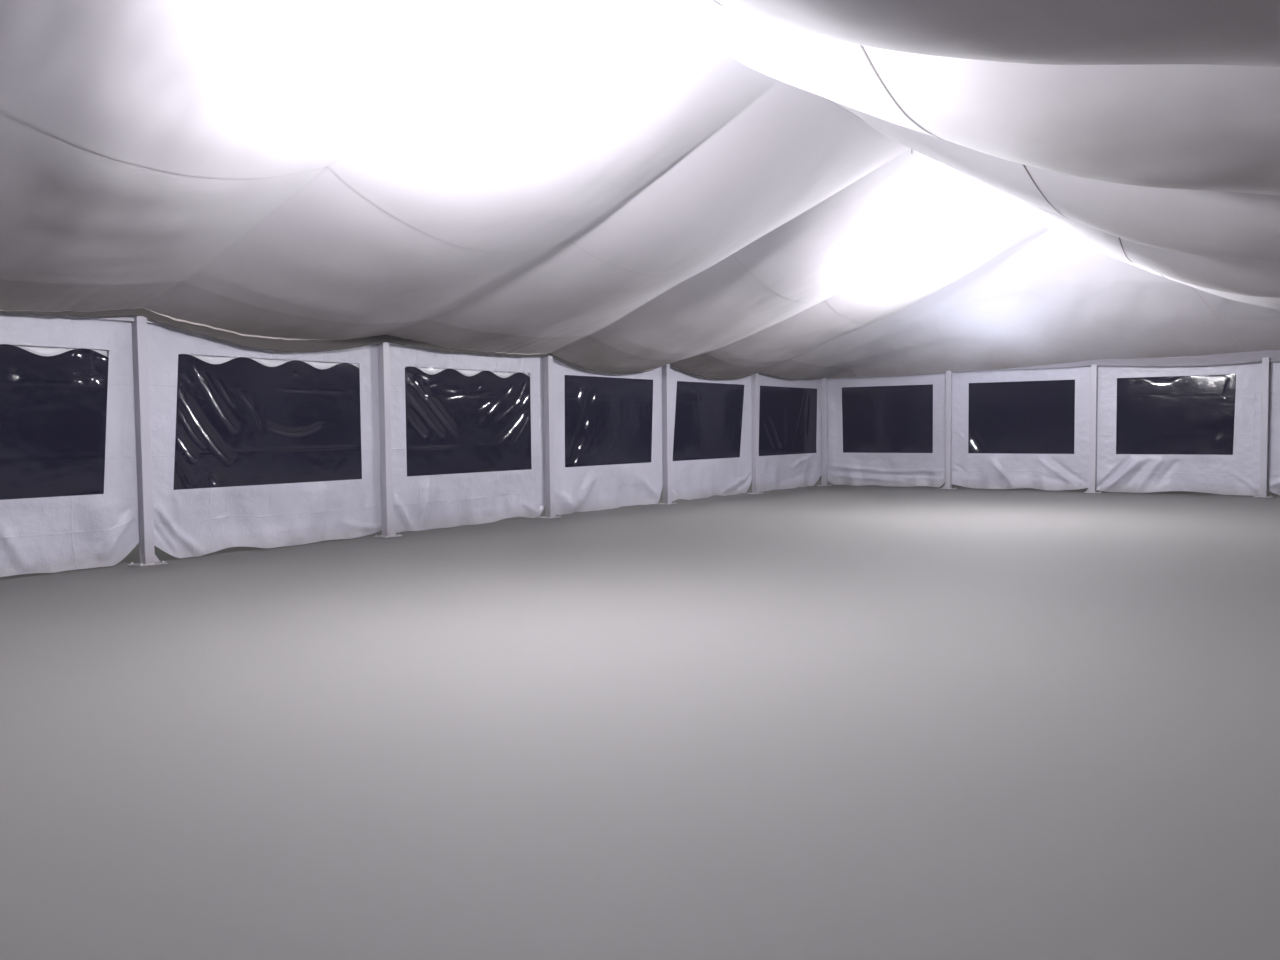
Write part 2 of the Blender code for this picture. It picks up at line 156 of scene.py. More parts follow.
# Windows: from the start of a bay to each side, and heights
WINDOW_SIDE = (0.37, 2.675)
WINDOW_END = (0.375, 2.355)
SILL = 0.71
HEAD_SIDE = 2.07
HEAD_END = 2.09
# How far some windows' corners are drawn along the wall: upper first, lower first, upper last, lower last
WINDOW_DRAW = {
    "left": {
        1: (0.0, 0.0, 0.05, -0.05),
        2: (0.05, -0.05, 0.0, 0.0),
        4: (0.06, 0.04, 0.03, -0.05),
        5: (0.04, -0.12, 0.02, -0.17),
        6: (-0.08, -0.15, 0.09, 0.04),
    },
    "far": {0: (0.0, 0.03, 0.0, 0.0), 2: (0.0, 0.0, -0.09, -0.12)},
}

# Folds of the wall panels that the photograph shows. Each is a bay, two ends as a distance from the bay's
# start and a height, a half width, and how far it stands out, which is below 0 where it comes into the tent.
FOLDS_LEFT = (
    (1, (2.60, 1.79), (3.00, 1.79), 0.008, -0.005),
    (1, (2.60, 1.11), (3.00, 1.08), 0.008, -0.005),
    (1, (2.60, 0.08), (2.96, 0.50), 0.05, -0.035),
    (1, (1.75, 0.50), (1.92, 0.02), 0.06, -0.030),
    (1, (0.90, 0.55), (1.20, 0.02), 0.07, 0.030),
    (2, (0.08, 0.62), (0.62, 0.00), 0.045, -0.045),
    (2, (0.05, 0.34), (0.34, 0.00), 0.03, 0.030),
    (2, (0.34, 0.68), (0.42, 0.20), 0.03, 0.016),
    (2, (0.80, 0.33), (1.05, 0.38), 0.03, -0.010),
    (2, (2.70, 1.03), (3.00, 1.00), 0.008, -0.005),
    (2, (2.35, 0.22), (2.98, 0.03), 0.035, -0.025),
    (2, (0.06, 1.95), (0.30, 2.18), 0.02, -0.010),
    (2, (0.10, 2.25), (0.30, 1.95), 0.02, 0.010),
    (3, (0.08, 0.52), (0.46, 0.02), 0.05, -0.045),
    (3, (2.45, 0.22), (2.96, 0.00), 0.035, -0.025),
    (3, (1.95, 0.42), (2.20, 0.36), 0.012, -0.006),
    (4, (0.10, 0.40), (0.62, 0.02), 0.10, -0.034),
    (4, (0.62, 0.04), (1.10, 0.58), 0.11, -0.040),
    (4, (2.40, 0.46), (2.90, 0.08), 0.05, -0.025),
    (5, (1.85, 0.07), (2.94, 0.32), 0.04, -0.030),
    (5, (2.15, 0.00), (2.94, 0.22), 0.03, 0.022),
    (5, (0.22, 0.20), (0.48, 0.03), 0.03, -0.016),
    (6, (1.60, 0.42), (2.75, 0.78), 0.05, -0.025),
    (6, (0.80, 0.10), (2.40, 0.30), 0.06, 0.020),
)
FOLDS_FAR = (
    (0, (0.06, 0.42), (1.30, 0.31), 0.035, -0.030),
    (0, (1.20, 0.31), (2.60, 0.34), 0.035, -0.030),
    (0, (0.10, 0.20), (1.75, 0.11), 0.03, -0.028),
    (0, (0.06, 0.30), (2.60, 0.22), 0.03, 0.022),
    (1, (0.02, 1.50), (0.38, 1.17), 0.022, -0.016),
    (1, (0.02, 1.27), (0.38, 0.92), 0.022, -0.016),
    (1, (0.06, 0.34), (0.40, 0.92), 0.03, -0.020),
    (1, (0.06, 0.50), (0.36, 0.30), 0.03, 0.016),
    (1, (2.40, 0.06), (1.70, 0.62), 0.04, -0.030),
    (1, (2.60, 0.08), (1.92, 0.64), 0.04, 0.026),
    (1, (0.80, 0.62), (1.26, 0.04), 0.06, -0.025),
    (1, (1.75, 0.30), (2.50, 0.06), 0.04, 0.020),
    (2, (0.06, 0.04), (0.62, 0.66), 0.035, 0.050),
    (2, (0.16, 0.02), (0.80, 0.60), 0.05, -0.050),
    (2, (0.50, 0.08), (0.98, 0.62), 0.05, 0.035),
    (2, (0.75, 0.06), (1.20, 0.64), 0.06, -0.040),
    (2, (1.05, 0.10), (1.45, 0.60), 0.05, 0.025),
    (2, (2.34, 0.42), (2.66, 0.03), 0.03, -0.024),
    (2, (2.38, 2.05), (2.47, 1.20), 0.02, -0.010),
    (3, (0.06, 0.10), (0.70, 0.60), 0.05, -0.035),
    (3, (2.64, 0.10), (1.90, 0.50), 0.05, -0.030),
)
FOLDS = {"left": FOLDS_LEFT, "far": FOLDS_FAR}
# How far the panels' lower corners are lifted at the start and end of a bay, and how far along that reaches
LIFTS = {
    "left": {
        1: ((0.03, 0.26), (0.2, 0.30)),
        2: ((0.24, 0.08), (0.38, 0.35)),
        3: ((0.04, 0.24), (0.12, 0.20)),
        4: ((0.03, 0.42), (0.3, 0.20)),
        5: ((0.03, 0.34), (0.1, 0.24)),
        6: ((0.02, 0.24), (0.1, 0.42)),
    },
    "far": {
        0: ((0.12, 0.22), (0.22, 0.22)),
        1: ((0.09, 0.10), (0.5, 0.40)),
        2: ((0.04, 0.02), (0.3, 0.1)),
    },
}
# Creases of the windows that the photograph shows. Each is a bay, two ends as the distance from the window's
# lower first corner, a width, the steepness of its flanks and, where it isn't straight, how far it bows.
STREAKS_LEFT = (
    (1, (2.02, 1.27), (2.01, 1.37), 0.036, 0.34),
    (1, (2.22, 1.37), (2.24, 1.25), 0.036, 0.33),
    (1, (2.04, 1.03), (2.03, 1.13), 0.030, 0.34),
    (1, (2.19, 1.04), (2.18, 1.14), 0.030, 0.33),
    (1, (1.49, 1.06), (1.48, 1.15), 0.028, 0.38),
    (1, (2.22, 1.02), (2.15, 1.36), 0.022, 0.29),
    (2, (0.02, 1.06), (0.64, 0.25), 0.046, 0.27, 0.035),
    (2, (0.27, 1.19), (0.69, 0.58), 0.040, 0.25, 0.020),
    (2, (0.18, 1.28), (0.32, 1.08), 0.024, 0.24, 0.006),
    (2, (0.85, 0.93), (0.98, 0.58), 0.022, 0.23, 0.006),
    (2, (0.74, 1.00), (0.87, 0.84), 0.020, 0.22, 0.004),
    (2, (0.44, 1.14), (0.66, 0.84), 0.020, 0.20, 0.006),
    (2, (0.01, 0.88), (0.34, 0.42), 0.030, 0.27, 0.015),
    (2, (0.00, 0.62), (0.24, 0.29), 0.036, 0.31, 0.006),
    (2, (0.00, 0.36), (0.20, 0.00), 0.032, 0.33, 0.006),
    (2, (0.08, 0.26), (0.24, 0.02), 0.022, 0.27, 0.004),
    (2, (0.04, 1.20), (0.18, 1.06), 0.020, 0.25),
    (2, (0.40, 0.16), (0.50, 0.02), 0.040, 0.34),
    (2, (1.04, 0.66), (1.76, 0.66), 0.030, 0.20, 0.100),
    (2, (1.37, 1.22), (1.47, 1.19), 0.016, 0.18),
    (2, (1.05, 0.38), (2.28, 0.38), 0.012, 0.20),
    (2, (1.20, 1.03), (2.10, 1.02), 0.012, 0.16),
    (3, (1.64, 0.40), (2.28, 0.92), 0.040, 0.25, 0.020),
    (3, (1.93, 0.38), (2.31, 0.84), 0.030, 0.27, 0.010),
    (3, (2.10, 0.90), (2.30, 1.10), 0.026, 0.23, 0.004),
    (3, (2.18, 0.74), (2.32, 0.92), 0.020, 0.25),
    (3, (1.26, 0.85), (1.52, 0.97), 0.026, 0.18),
    (3, (1.44, 0.79), (1.68, 0.98), 0.024, 0.20),
    (3, (1.78, 1.03), (1.95, 1.18), 0.024, 0.19),
    (3, (1.58, 0.70), (2.08, 1.00), 0.020, 0.21, 0.010),
    (3, (2.06, 0.14), (2.30, 0.52), 0.024, 0.31, 0.008),
    (3, (2.00, 0.92), (2.25, 1.27), 0.022, 0.21),
    (3, (1.28, 0.67), (1.38, 0.75), 0.018, 0.21),
    (3, (0.02, 1.32), (0.36, 0.98), 0.030, 0.20),
    (3, (0.03, 1.10), (0.64, 0.50), 0.045, 0.24),
    (3, (0.08, 1.33), (0.88, 0.49), 0.042, 0.22),
    (3, (0.02, 0.82), (0.34, 0.50), 0.040, 0.26),
    (3, (0.48, 0.96), (0.86, 0.56), 0.034, 0.22),
    (3, (0.40, 1.14), (0.54, 1.16), 0.022, 0.11),
    (3, (0.66, 1.11), (0.90, 1.09), 0.024, 0.12, 0.010),
    (3, (1.24, 1.11), (1.34, 1.18), 0.022, 0.14),
    (3, (0.68, 0.99), (1.02, 1.04), 0.020, 0.13, 0.010),
    (3, (1.06, 1.01), (1.46, 1.07), 0.018, 0.13, 0.010),
    (3, (0.06, 1.30), (0.42, 1.24), 0.045, 0.088),
    (3, (0.10, 1.20), (0.34, 1.16), 0.032, 0.105),
    (3, (0.02, 0.34), (1.00, 0.34), 0.014, 0.22),
    (4, (0.30, 1.00), (0.40, 1.17), 0.039, 0.35),
    (4, (0.66, 0.97), (0.74, 1.12), 0.028, 0.39),
    (4, (0.49, 0.59), (0.58, 0.72), 0.029, 0.41),
    (4, (0.31, 0.25), (0.43, 0.38), 0.034, 0.44),
    (4, (0.23, 0.05), (0.33, 0.18), 0.038, 0.46),
    (4, (0.10, 0.10), (0.62, 1.30), 0.030, 0.12),
    (5, (2.24, 1.20), (2.20, 0.55), 0.025, 0.25),
    (6, (1.00, 1.15), (1.04, 0.15), 0.032, 0.62),
    (6, (0.35, 0.80), (0.85, 0.10), 0.032, 0.55),
    (6, (1.32, 0.10), (1.78, 1.15), 0.028, 0.45),
    (6, (1.96, 1.20), (1.88, 0.40), 0.030, 0.60),
    (6, (0.15, 0.65), (0.58, 0.10), 0.030, 0.55),
)
STREAKS_FAR = (
    (1, (0.00, 0.42), (0.27, 0.00), 0.070, 0.42),
    (2, (0.44, 1.40), (1.16, 1.41), 0.030, 0.10, 0.130),
    (2, (0.56, 1.30), (0.98, 1.27), 0.016, 0.09, 0.030),
    (2, (0.57, 1.06), (0.90, 1.05), 0.014, 0.11),
    (2, (1.86, 1.30), (1.80, 0.98), 0.024, 0.16),
    (2, (1.70, 0.30), (1.80, 0.36), 0.022, 0.20),
    (2, (0.16, 1.37), (0.36, 1.34), 0.022, 0.09),
    (3, (0.04, 1.30), (0.12, 0.30), 0.024, 0.22),
)
STREAKS = {"left": STREAKS_LEFT, "far": STREAKS_FAR}
# Spacing of the film's mesh in each window, finest where it is most creased
FILM_STEPS = {"left": (0.030, 0.014, 0.0115, 0.0115, 0.014, 0.024, 0.020), "far": (0.016,) * END_BAYS}

# Photograph's camera
EYE = (4.386, -9.864, 1.280)
LENS = 29.21
YAW, PITCH, ROLL = -35.755, -2.8725, -0.6066

FLOOR_RADIUS = 18.0
FLOOR_FADE = 13.0  # distance from the middle where the floor starts to fade out

# Lights: a name, a place and a power, and for a softbox also its target, size, spread and colour
WHITE, BLUE = (1.0, 1.0, 1.0), (0.76, 0.83, 1.0)
LAMP_COLOUR, LAMP_RADIUS = (0.965, 0.955, 1.0), 0.12
LAMPS = (("lamp_near", (0.15, -4.9, 3.4), 780.0), ("lamp_far", (0.0, 4.55, 3.3), 770.0))
SOFTBOXES = (
    ("softbox_top", (0, 0, 15), 420.0, (0, 0, 1), 14.0, 110, WHITE),
    ("softbox_front_left", (-15, -17, 10), 560.0, (0, 0, 1), 9.0, 110, WHITE),
    ("softbox_back_right", (15, 17, 10), 560.0, (0, 0, 1), 9.0, 110, WHITE),
    ("softbox_front_right", (15, -17, 9), 330.0, (0, 0, 1), 9.0, 110, WHITE),
    ("softbox_back_left", (-15, 17, 9), 330.0, (0, 0, 1), 9.0, 110, WHITE),
    ("softbox_inside", (0, 0, 0.3), 45.0, (0, 0, 1), 9.0, 180, WHITE),
    ("softbox_far_end", (-1.3, 8.4, 1.7), 23.0, (-1.6, 9.2, 4.0), 1.0, 150, BLUE),
)


def linear(code):
    """An sRGB hex colour as linear RGBA."""
    values = [int(code[i : i + 2], 16) / 255 for i in (1, 3, 5)]
    return (*[v / 12.92 if v <= 0.04045 else ((v + 0.055) / 1.055) ** 2.4 for v in values], 1.0)


def smooth(low, high, value):
    t = np.clip((value - low) / (high - low), 0.0, 1.0)
    return t * t * (3 - 2 * t)


def arch(t):
    """0 at both ends of a span and 1 in its middle."""
    return 4 * t * (1 - t)


def soft_noise(u, v, size, seed):
    """Smooth random heights, mostly between -1 and 1, with swells of about this size."""
    random = np.random.default_rng(seed)
    total = np.zeros(np.broadcast(u, v).shape)
    for _ in range(WAVES):
        angle = random.uniform(0, math.tau)
        length = size * random.uniform(0.7, 1.6)
        across = (u * math.cos(angle) + v * math.sin(angle)) / length
        total += np.sin(math.tau * (across + random.uniform(0, 1)))
    return total / math.sqrt(WAVES)


def crease(u, v, start, end, width, height, bend=0.0):
    """A fold between two points that fades at both ends and may bow, as a height at each u, v."""
    du, dv = end[0] - start[0], end[1] - start[1]
    length = math.hypot(du, dv)
    t = ((u - start[0]) * du + (v - start[1]) * dv) / length**2
    off = ((u - start[0]) * dv - (v - start[1]) * du) / length
    bow = np.clip(arch(t), 0, 1)
    return height * np.exp(-(((off - bend * bow) / width) ** 2)) * bow**0.3


# Meshes


def new_object(name, mesh, material=None):
    if material:
        mesh.materials.clear()
        mesh.materials.append(material)
    obj = bpy.data.objects.new(name, mesh)
    bpy.context.scene.collection.objects.link(obj)
    return obj


def built_mesh(name, build):
    """A mesh made by a function that fills a bmesh."""
    mesh = bpy.data.meshes.new(name)
    shape = bmesh.new()
    build(shape)
    bmesh.ops.recalc_face_normals(shape, faces=shape.faces)
    shape.to_mesh(mesh)
    shape.free()
    return mesh


def cone(shape, segments, foot, head, depth):
    bmesh.ops.create_cone(shape, cap_ends=True, segments=segments, radius1=foot, radius2=head, depth=depth)


def thicken(obj, thickness):
    solidify = obj.modifiers.new("thickness", "SOLIDIFY")
    solidify.thickness = thickness
    solidify.offset = 0.0


def finish_piece(obj, replaced=()):
    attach(obj, BODY)
    if replaced:
        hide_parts(*replaced)
    return obj


def patch(x, y, z, u, v):
    """A grid of points, and the same points on the flat cloth in metres."""
    return np.stack([x, y, z], -1), np.stack([u, v], -1)


def cloth(name, material, patches, replaced=(), thickness=0.0, keep=None):
    """A piece of cloth made of patches, or of the cells of one patch where keep is True."""
    points, faces, flats, start = [], [], [], 0
    for grid, flat in patches:
        rows, columns = grid.shape[:2]
        first = np.arange(rows - 1)[:, None] * columns + np.arange(columns - 1)[None, :]
        quads = np.stack([first, first + 1, first + columns + 1, first + columns], -1)
        faces.append((quads if keep is None else quads[keep]).reshape(-1, 4) + start)
        points.append(grid.reshape(-1, 3))
        flats.append(flat.reshape(-1, 2))
        start += rows * columns
    used, corners = np.unique(np.concatenate(faces), return_inverse=True)
    corners = corners.ravel()
    mesh = bpy.data.meshes.new(name)
    mesh.vertices.add(len(used))
    mesh.vertices.foreach_set("co", np.concatenate(points)[used].astype(np.float32).ravel())
    mesh.loops.add(corners.size)
    mesh.loops.foreach_set("vertex_index", corners.astype(np.int32))
    mesh.polygons.add(corners.size // 4)
    mesh.polygons.foreach_set("loop_start", np.arange(0, corners.size, 4, dtype=np.int32))
    mesh.update(calc_edges=True)
    cut = mesh.uv_layers.new(name="Cut")
    cut.data.foreach_set("uv", np.concatenate(flats)[used][corners].astype(np.float32).ravel())
    mesh.shade_smooth()
    obj = new_object(name, mesh, material)
    if thickness:
        thicken(obj, thickness)
    return finish_piece(obj, replaced)


# Node trees


def fill(tree, node, inputs):
    """Sets or links inputs of a node."""
    for key, value in inputs.items():
        if isinstance(value, bpy.types.NodeSocket):
            tree.links.new(value, node.inputs[key])
        else:
            node.inputs[key].default_value = value


def add(tree, kind, inputs=None, **settings):
    """Adds a node, sets its properties and its inputs, and gives its outputs."""
    node = tree.nodes.new(kind)
    for name, value in settings.items():
        setattr(node, name, value)
    fill(tree, node, inputs or {})
    return node.outputs


def calc(tree, operation, *values, **settings):
    """The result of a math node."""
    return add(tree, "ShaderNodeMath", dict(enumerate(values)), operation=operation, **settings)[0]


def axes(tree, place):
    return add(tree, "ShaderNodeSeparateXYZ", {0: place})


def ramp(tree, value, start, end, low=0.0, high=1.0, kind="LINEAR"):
    """A value that goes from low to high while another goes from start to end."""
    inputs = {"Value": value, "From Min": start, "From Max": end, "To Min": low, "To Max": high}
    return add(tree, "ShaderNodeMapRange", inputs, interpolation_type=kind)[0]


def noise(tree, place, scale, detail, roughness=0.5):
    inputs = {"Vector": place, "Scale": scale, "Detail": detail, "Roughness": roughness}
    return add(tree, "ShaderNodeTexNoise", inputs)


def mixed(tree, factor, first, second, blend="MIX"):
    """Two colours mixed."""
    inputs = {"Factor": factor, "A": first, "B": second}
    return add(tree, "ShaderNodeMix", inputs, data_type="RGBA", blend_type=blend)["Result"]


def relief(tree, height, strength, distance, under=None):
    """A bump over the one under it."""
    inputs = {"Height": height, "Strength": strength, "Distance": distance}
    if under is not None:
        inputs["Normal"] = under
    return add(tree, "ShaderNodeBump", inputs)[0]


def new_geometry_tree(name, sockets):
    """A geometry tree, its group input's outputs, and its inputs' identifiers by name."""
    tree = bpy.data.node_groups.new(name, "GeometryNodeTree")
    for way in ("OUTPUT", "INPUT"):
        tree.interface.new_socket("Geometry", in_out=way, socket_type="NodeSocketGeometry")
    ids = {}
    for kind, names in sockets.items():
        for socket in names:
            kept = tree.interface.new_socket(socket, in_out="INPUT", socket_type="NodeSocket" + kind)
            ids[socket] = kept.identifier
    return tree, add(tree, "NodeGroupInput"), ids


def end_tree(tree, geometry, material):
    """Ends a geometry tree with real geometry in its material."""
    real = add(tree, "GeometryNodeRealizeInstances", {"Geometry": geometry})
    done = add(tree, "GeometryNodeSetMaterial", {"Geometry": real[0], "Material": material})
    add(tree, "NodeGroupOutput", {"Geometry": done[0]})


def grown(name, mesh, tree, ids, values):
    """The result of a geometry tree on a mesh, as a plain mesh object with no modifier left."""
    host = new_object(name + "_host", mesh, values["Material"])
    modifier = host.modifiers.new("tree", "NODES")
    modifier.node_group = tree
    for socket, value in values.items():
        modifier[ids[socket]] = value
    graph = bpy.context.evaluated_depsgraph_get()
    made = bpy.data.meshes.new_from_object(host.evaluated_get(graph))
    made.name = name
    bpy.data.objects.remove(host, do_unlink=True)
    return new_object(name, made, values["Material"])


def valance_tree():
    """A hanging strip along X whose lower edge is scalloped anew in each bay, and which flutters a little."""
    sizes = ("Length", "Bay", "Phase", "Scallops", "Depth", "Edge", "Rise", "Rise From", "Top")
    tree, given, ids = new_geometry_tree(
        "scalloped valance",
        {
            "Float": (*sizes, "Flutter", "Lean", "Seed"),
            "Int": ("Columns",),
            "Vector": ("Place", "Turn"),
            "Material": ("Material",),
        },
    )
    strip = {"Size X": given["Length"], "Size Y": 1.0, "Vertices X": given["Columns"], "Vertices Y": 15}
    grid = add(tree, "GeometryNodeMeshGrid", strip)
    place = axes(tree, add(tree, "GeometryNodeInputPosition")[0])
    along = place["X"]
    up = calc(tree, "ADD", place["Y"], 0.5)
    bays = calc(tree, "ADD", calc(tree, "DIVIDE", along, given["Bay"]), given["Phase"])
    from_middle = calc(tree, "SUBTRACT", calc(tree, "FRACT", bays), 0.5)
    turns = calc(tree, "MULTIPLY", from_middle, given["Scallops"])
    wave = calc(tree, "COSINE", calc(tree, "MULTIPLY", turns, math.tau))
    rise_end = calc(tree, "ADD", given["Rise From"], 0.5)
    higher = ramp(tree, along, given["Rise From"], rise_end, 0.0, given["Rise"], "SMOOTHSTEP")
    edge = calc(tree, "ADD", given["Edge"], higher)
    lowest = calc(tree, "SUBTRACT", edge, calc(tree, "MULTIPLY", wave, given["Depth"]))
    drop = calc(tree, "SUBTRACT", given["Top"], lowest)
    height = calc(tree, "ADD", lowest, calc(tree, "MULTIPLY", drop, up))
    spot = {"X": along, "Y": calc(tree, "MULTIPLY", up, 0.35), "Z": given["Seed"]}
    sway = noise(tree, add(tree, "ShaderNodeCombineXYZ", spot)[0], 1.7, 3.0, 0.45)[0]
    most = calc(tree, "MULTIPLY", given["Flutter"], 2.0)
    swing = calc(tree, "MULTIPLY", calc(tree, "SUBTRACT", sway, 0.5), most)
    out = calc(tree, "SUBTRACT", calc(tree, "MULTIPLY", swing, 2.0), given["Lean"])
    out = calc(tree, "MULTIPLY", out, calc(tree, "SUBTRACT", 1.0, up))
    point = add(tree, "ShaderNodeCombineXYZ", {"X": along, "Y": out, "Z": height})
    shaped = add(tree, "GeometryNodeSetPosition", {"Geometry": grid["Mesh"], "Position": point[0]})
    stand = {"Geometry": shaped[0], "Translation": given["Place"], "Rotation": given["Turn"]}
    moved = add(tree, "GeometryNodeTransform", stand)
    eased = add(tree, "GeometryNodeSetShadeSmooth", {"Geometry": moved[0]})
    end_tree(tree, eased[0], given["Material"])
    return tree, ids


def repeats_tree():
    """A copy of one object on each point, turned by the point's own attribute and a little uneven."""
    sockets = {"Object": ("Fitting",), "Float": ("Unevenness",), "Material": ("Material",)}
    tree, given, ids = new_geometry_tree("repeated fittings", sockets)
    shape = add(tree, "GeometryNodeObjectInfo", {"Object": given["Fitting"]})
    turn = add(tree, "GeometryNodeInputNamedAttribute", {"Name": "turn"}, data_type="FLOAT_VECTOR")
    least = calc(tree, "SUBTRACT", 1.0, given["Unevenness"])
    size = add(tree, "FunctionNodeRandomValue", {"Min": least, "Max": 1.0, "Seed": 7}, data_type="FLOAT")
    placed = add(
        tree,
        "GeometryNodeInstanceOnPoints",
        {
            "Points": given["Geometry"],
            "Instance": shape["Geometry"],
            "Rotation": turn["Attribute"],
            "Scale": size["Value"],
        },
    )
    end_tree(tree, placed[0], given["Material"])
    return tree, ids


def repeated(name, material, places, build, unevenness=0.0):
    """One piece of many copies of what a function builds: places holds (point, turn) pairs."""
    fitting = new_object(name + "_pattern", built_mesh(name + "_pattern", build))
    tree, ids = repeats_tree()
    mesh = bpy.data.meshes.new(name + "_points")
    mesh.from_pydata([point for point, _ in places], [], [])
    attribute = mesh.attributes.new("turn", "FLOAT_VECTOR", "POINT")
    attribute.data.foreach_set("vector", [value for _, turn in places for value in turn])
    values = {"Fitting": fitting, "Unevenness": unevenness, "Material": material}
    piece = grown(name, mesh, tree, ids, values)
    bpy.data.objects.remove(fitting, do_unlink=True)
    return finish_piece(piece)


# Materials


def new_material(name):
    """A new material, its node tree and its object coordinates."""
    material = bpy.data.materials.new(name)
    material.use_nodes = True
    tree = material.node_tree
    return material, tree, add(tree, "ShaderNodeTexCoord")["Object"]


def finished(material, inputs):
    """The material, with inputs of its main shader set or linked."""
    fill(material.node_tree, material.node_tree.nodes["Principled BSDF"], inputs)
    return material


def threads(tree, inputs):
    """The bands of a cloth's warp and weft, summed, and its flat coordinates."""
    flat = add(tree, "ShaderNodeUVMap", uv_map="Cut")["UV"]
    inputs = {"Vector": flat, **inputs}
    waves = [add(tree, "ShaderNodeTexWave", inputs, bands_direction=axis)["Fac"] for axis in "XY"]
    return calc(tree, "ADD", *waves), flat


def coated_steel(name, colour):
    """Square steel tube, powder coated white: satin, with faint orange peel and grime towards the ground."""
    material, tree, place = new_material(name)
    cloudy = noise(tree, place, 6.0, 6.0, 0.65)[0]
    grime = calc(tree, "MULTIPLY", ramp(tree, axes(tree, place)["Z"], 0.0, 0.35, 0.75, 0.0), cloudy)
    return finished(
        material,
        {
            "Base Color": mixed(tree, grime, colour, linear("#6E675A")),
            "Roughness": ramp(tree, cloudy, 0.3, 0.7, 0.30, 0.46),
            "Normal": relief(tree, noise(tree, place, 220.0, 1.0)[0], 0.15, 0.0006),
        },
    )


def coated_cloth(name, colour, soil_height, gloss):
    """PVC-coated polyester: its scrim prints faintly through a smooth skin, which is creased and soiled."""
    material, tree, place = new_material(name)
    cloudy = noise(tree, place, 1.3, 7.0, 0.6)[0]
    splash = calc(tree, "MULTIPLY", ramp(tree, axes(tree, place)["Z"], 0.0, soil_height, 0.8, 0.0), cloudy)
    shade = mixed(tree, 1.0, colour, ramp(tree, cloudy, 0.3, 0.7, 0.87, 1.0), "MULTIPLY")
    # The scrim has about one thread a millimetre; it is drawn at 9 mm, the finest that shows
    scrim, flat = threads(tree, {"Scale": 55.0})
    fine = relief(tree, scrim, 0.05, 0.002)
    soft = relief(tree, noise(tree, place, 7.0, 5.0)[0], 0.55, 0.03, fine)
    # Handling leaves a net of sharp creases, some 0.2 m apart
    bent = noise(tree, place, 1.6, 2.0)["Color"]
    warped = add(tree, "ShaderNodeVectorMath", {0: place, 1: bent}, operation="ADD")[0]
    net = add(tree, "ShaderNodeTexVoronoi", {"Vector": warped, "Scale": 4.0}, feature="DISTANCE_TO_EDGE")
    ridge = ramp(tree, net["Distance"], 0.0, 0.05, 1.0, 0.0, "SMOOTHSTEP")
    sharp = relief(tree, ridge, 0.12, 0.004, soft)
    # The cloth is stored folded into squares of 0.7 m, which print as straight creases
    wander = add(tree, "ShaderNodeVectorMath", {0: bent, "Scale": 0.05}, operation="SCALE")[0]
    square = axes(tree, add(tree, "ShaderNodeVectorMath", {0: flat, 1: wander}, operation="ADD")[0])
    lines = []
    for axis, shift in (("X", 0.2), ("Y", 0.318)):
        near = calc(tree, "PINGPONG", calc(tree, "ADD", square[axis], shift), 0.35)
        lines.append(ramp(tree, near, 0.0, 0.014, 1.0, 0.0, "SMOOTHSTEP"))
    worn = calc(tree, "MULTIPLY", calc(tree, "MAXIMUM", *lines), cloudy)
    return finished(
        material,
        {
            "Base Color": mixed(tree, splash, shade, linear("#7C7462")),
            "Normal": relief(tree, worn, 0.4, 0.010, sharp),
            "Roughness": gloss,
        },
    )


def lining_cloth(name, colour, eave_shade_colour):
    """Woven polyester lining: matt, with its weave showing as a fine grid, and painted shade greying it
    towards the eaves.
    """
    material, tree, place = new_material(name)
    spot = axes(tree, place)
    uneven = calc(tree, "ADD", noise(tree, place, 0.8, 6.0, 0.6)[0], 0.25)
    # Painted shade: the lining is drawn greyer lower down, where light falls off towards the eaves
    painted_eave_shade = calc(tree, "MULTIPLY", ramp(tree, spot["Z"], 2.3, 3.4, 1.0, 0.0), uneven, use_clamp=True)
    # Beyond the eave seam the cloth is greyer still, as painted shade along the eaves
    band = ramp(tree, calc(tree, "ABSOLUTE", spot["X"]), SEAM_EAVE, SEAM_EAVE + 0.03, 0.0, 0.22)
    tint = mixed(tree, calc(tree, "ADD", painted_eave_shade, band), colour, eave_shade_colour)
    # The threads are about 1 mm apart; the slubs and the heavier threads that show are about 15 mm apart
    weave, _ = threads(tree, {"Scale": 33.0, "Distortion": 1.5, "Detail": 2.0, "Detail Scale": 1.5})
    fine = relief(tree, weave, 0.12, 0.003)
    return finished(
        material,
        {
            "Base Color": mixed(tree, 1.0, tint, ramp(tree, weave, 0.0, 2.0, 0.93, 1.03), "MULTIPLY"),
            "Normal": relief(tree, noise(tree, place, 4.0, 6.0)[0], 0.08, 0.03, fine),
            "Roughness": 0.9,
            "Sheen Weight": 0.15,
        },
    )


def clear_film(name, colour):
    """Clear flexible PVC film: glossy, see-through with a slight smoky tint, and hazed in patches."""
    material, tree, place = new_material(name)
    return finished(
        material,
        {
            "Roughness": ramp(tree, noise(tree, place, 3.0, 6.0, 0.7)[0], 0.3, 0.7, 0.07, 0.13),
            "Normal": relief(tree, noise(tree, place, 30.0, 3.0, 0.6)[0], 0.15, 0.006),
            "Base Color": colour,
            "Alpha": 0.12,
            "IOR": 4.0,
        },
    )


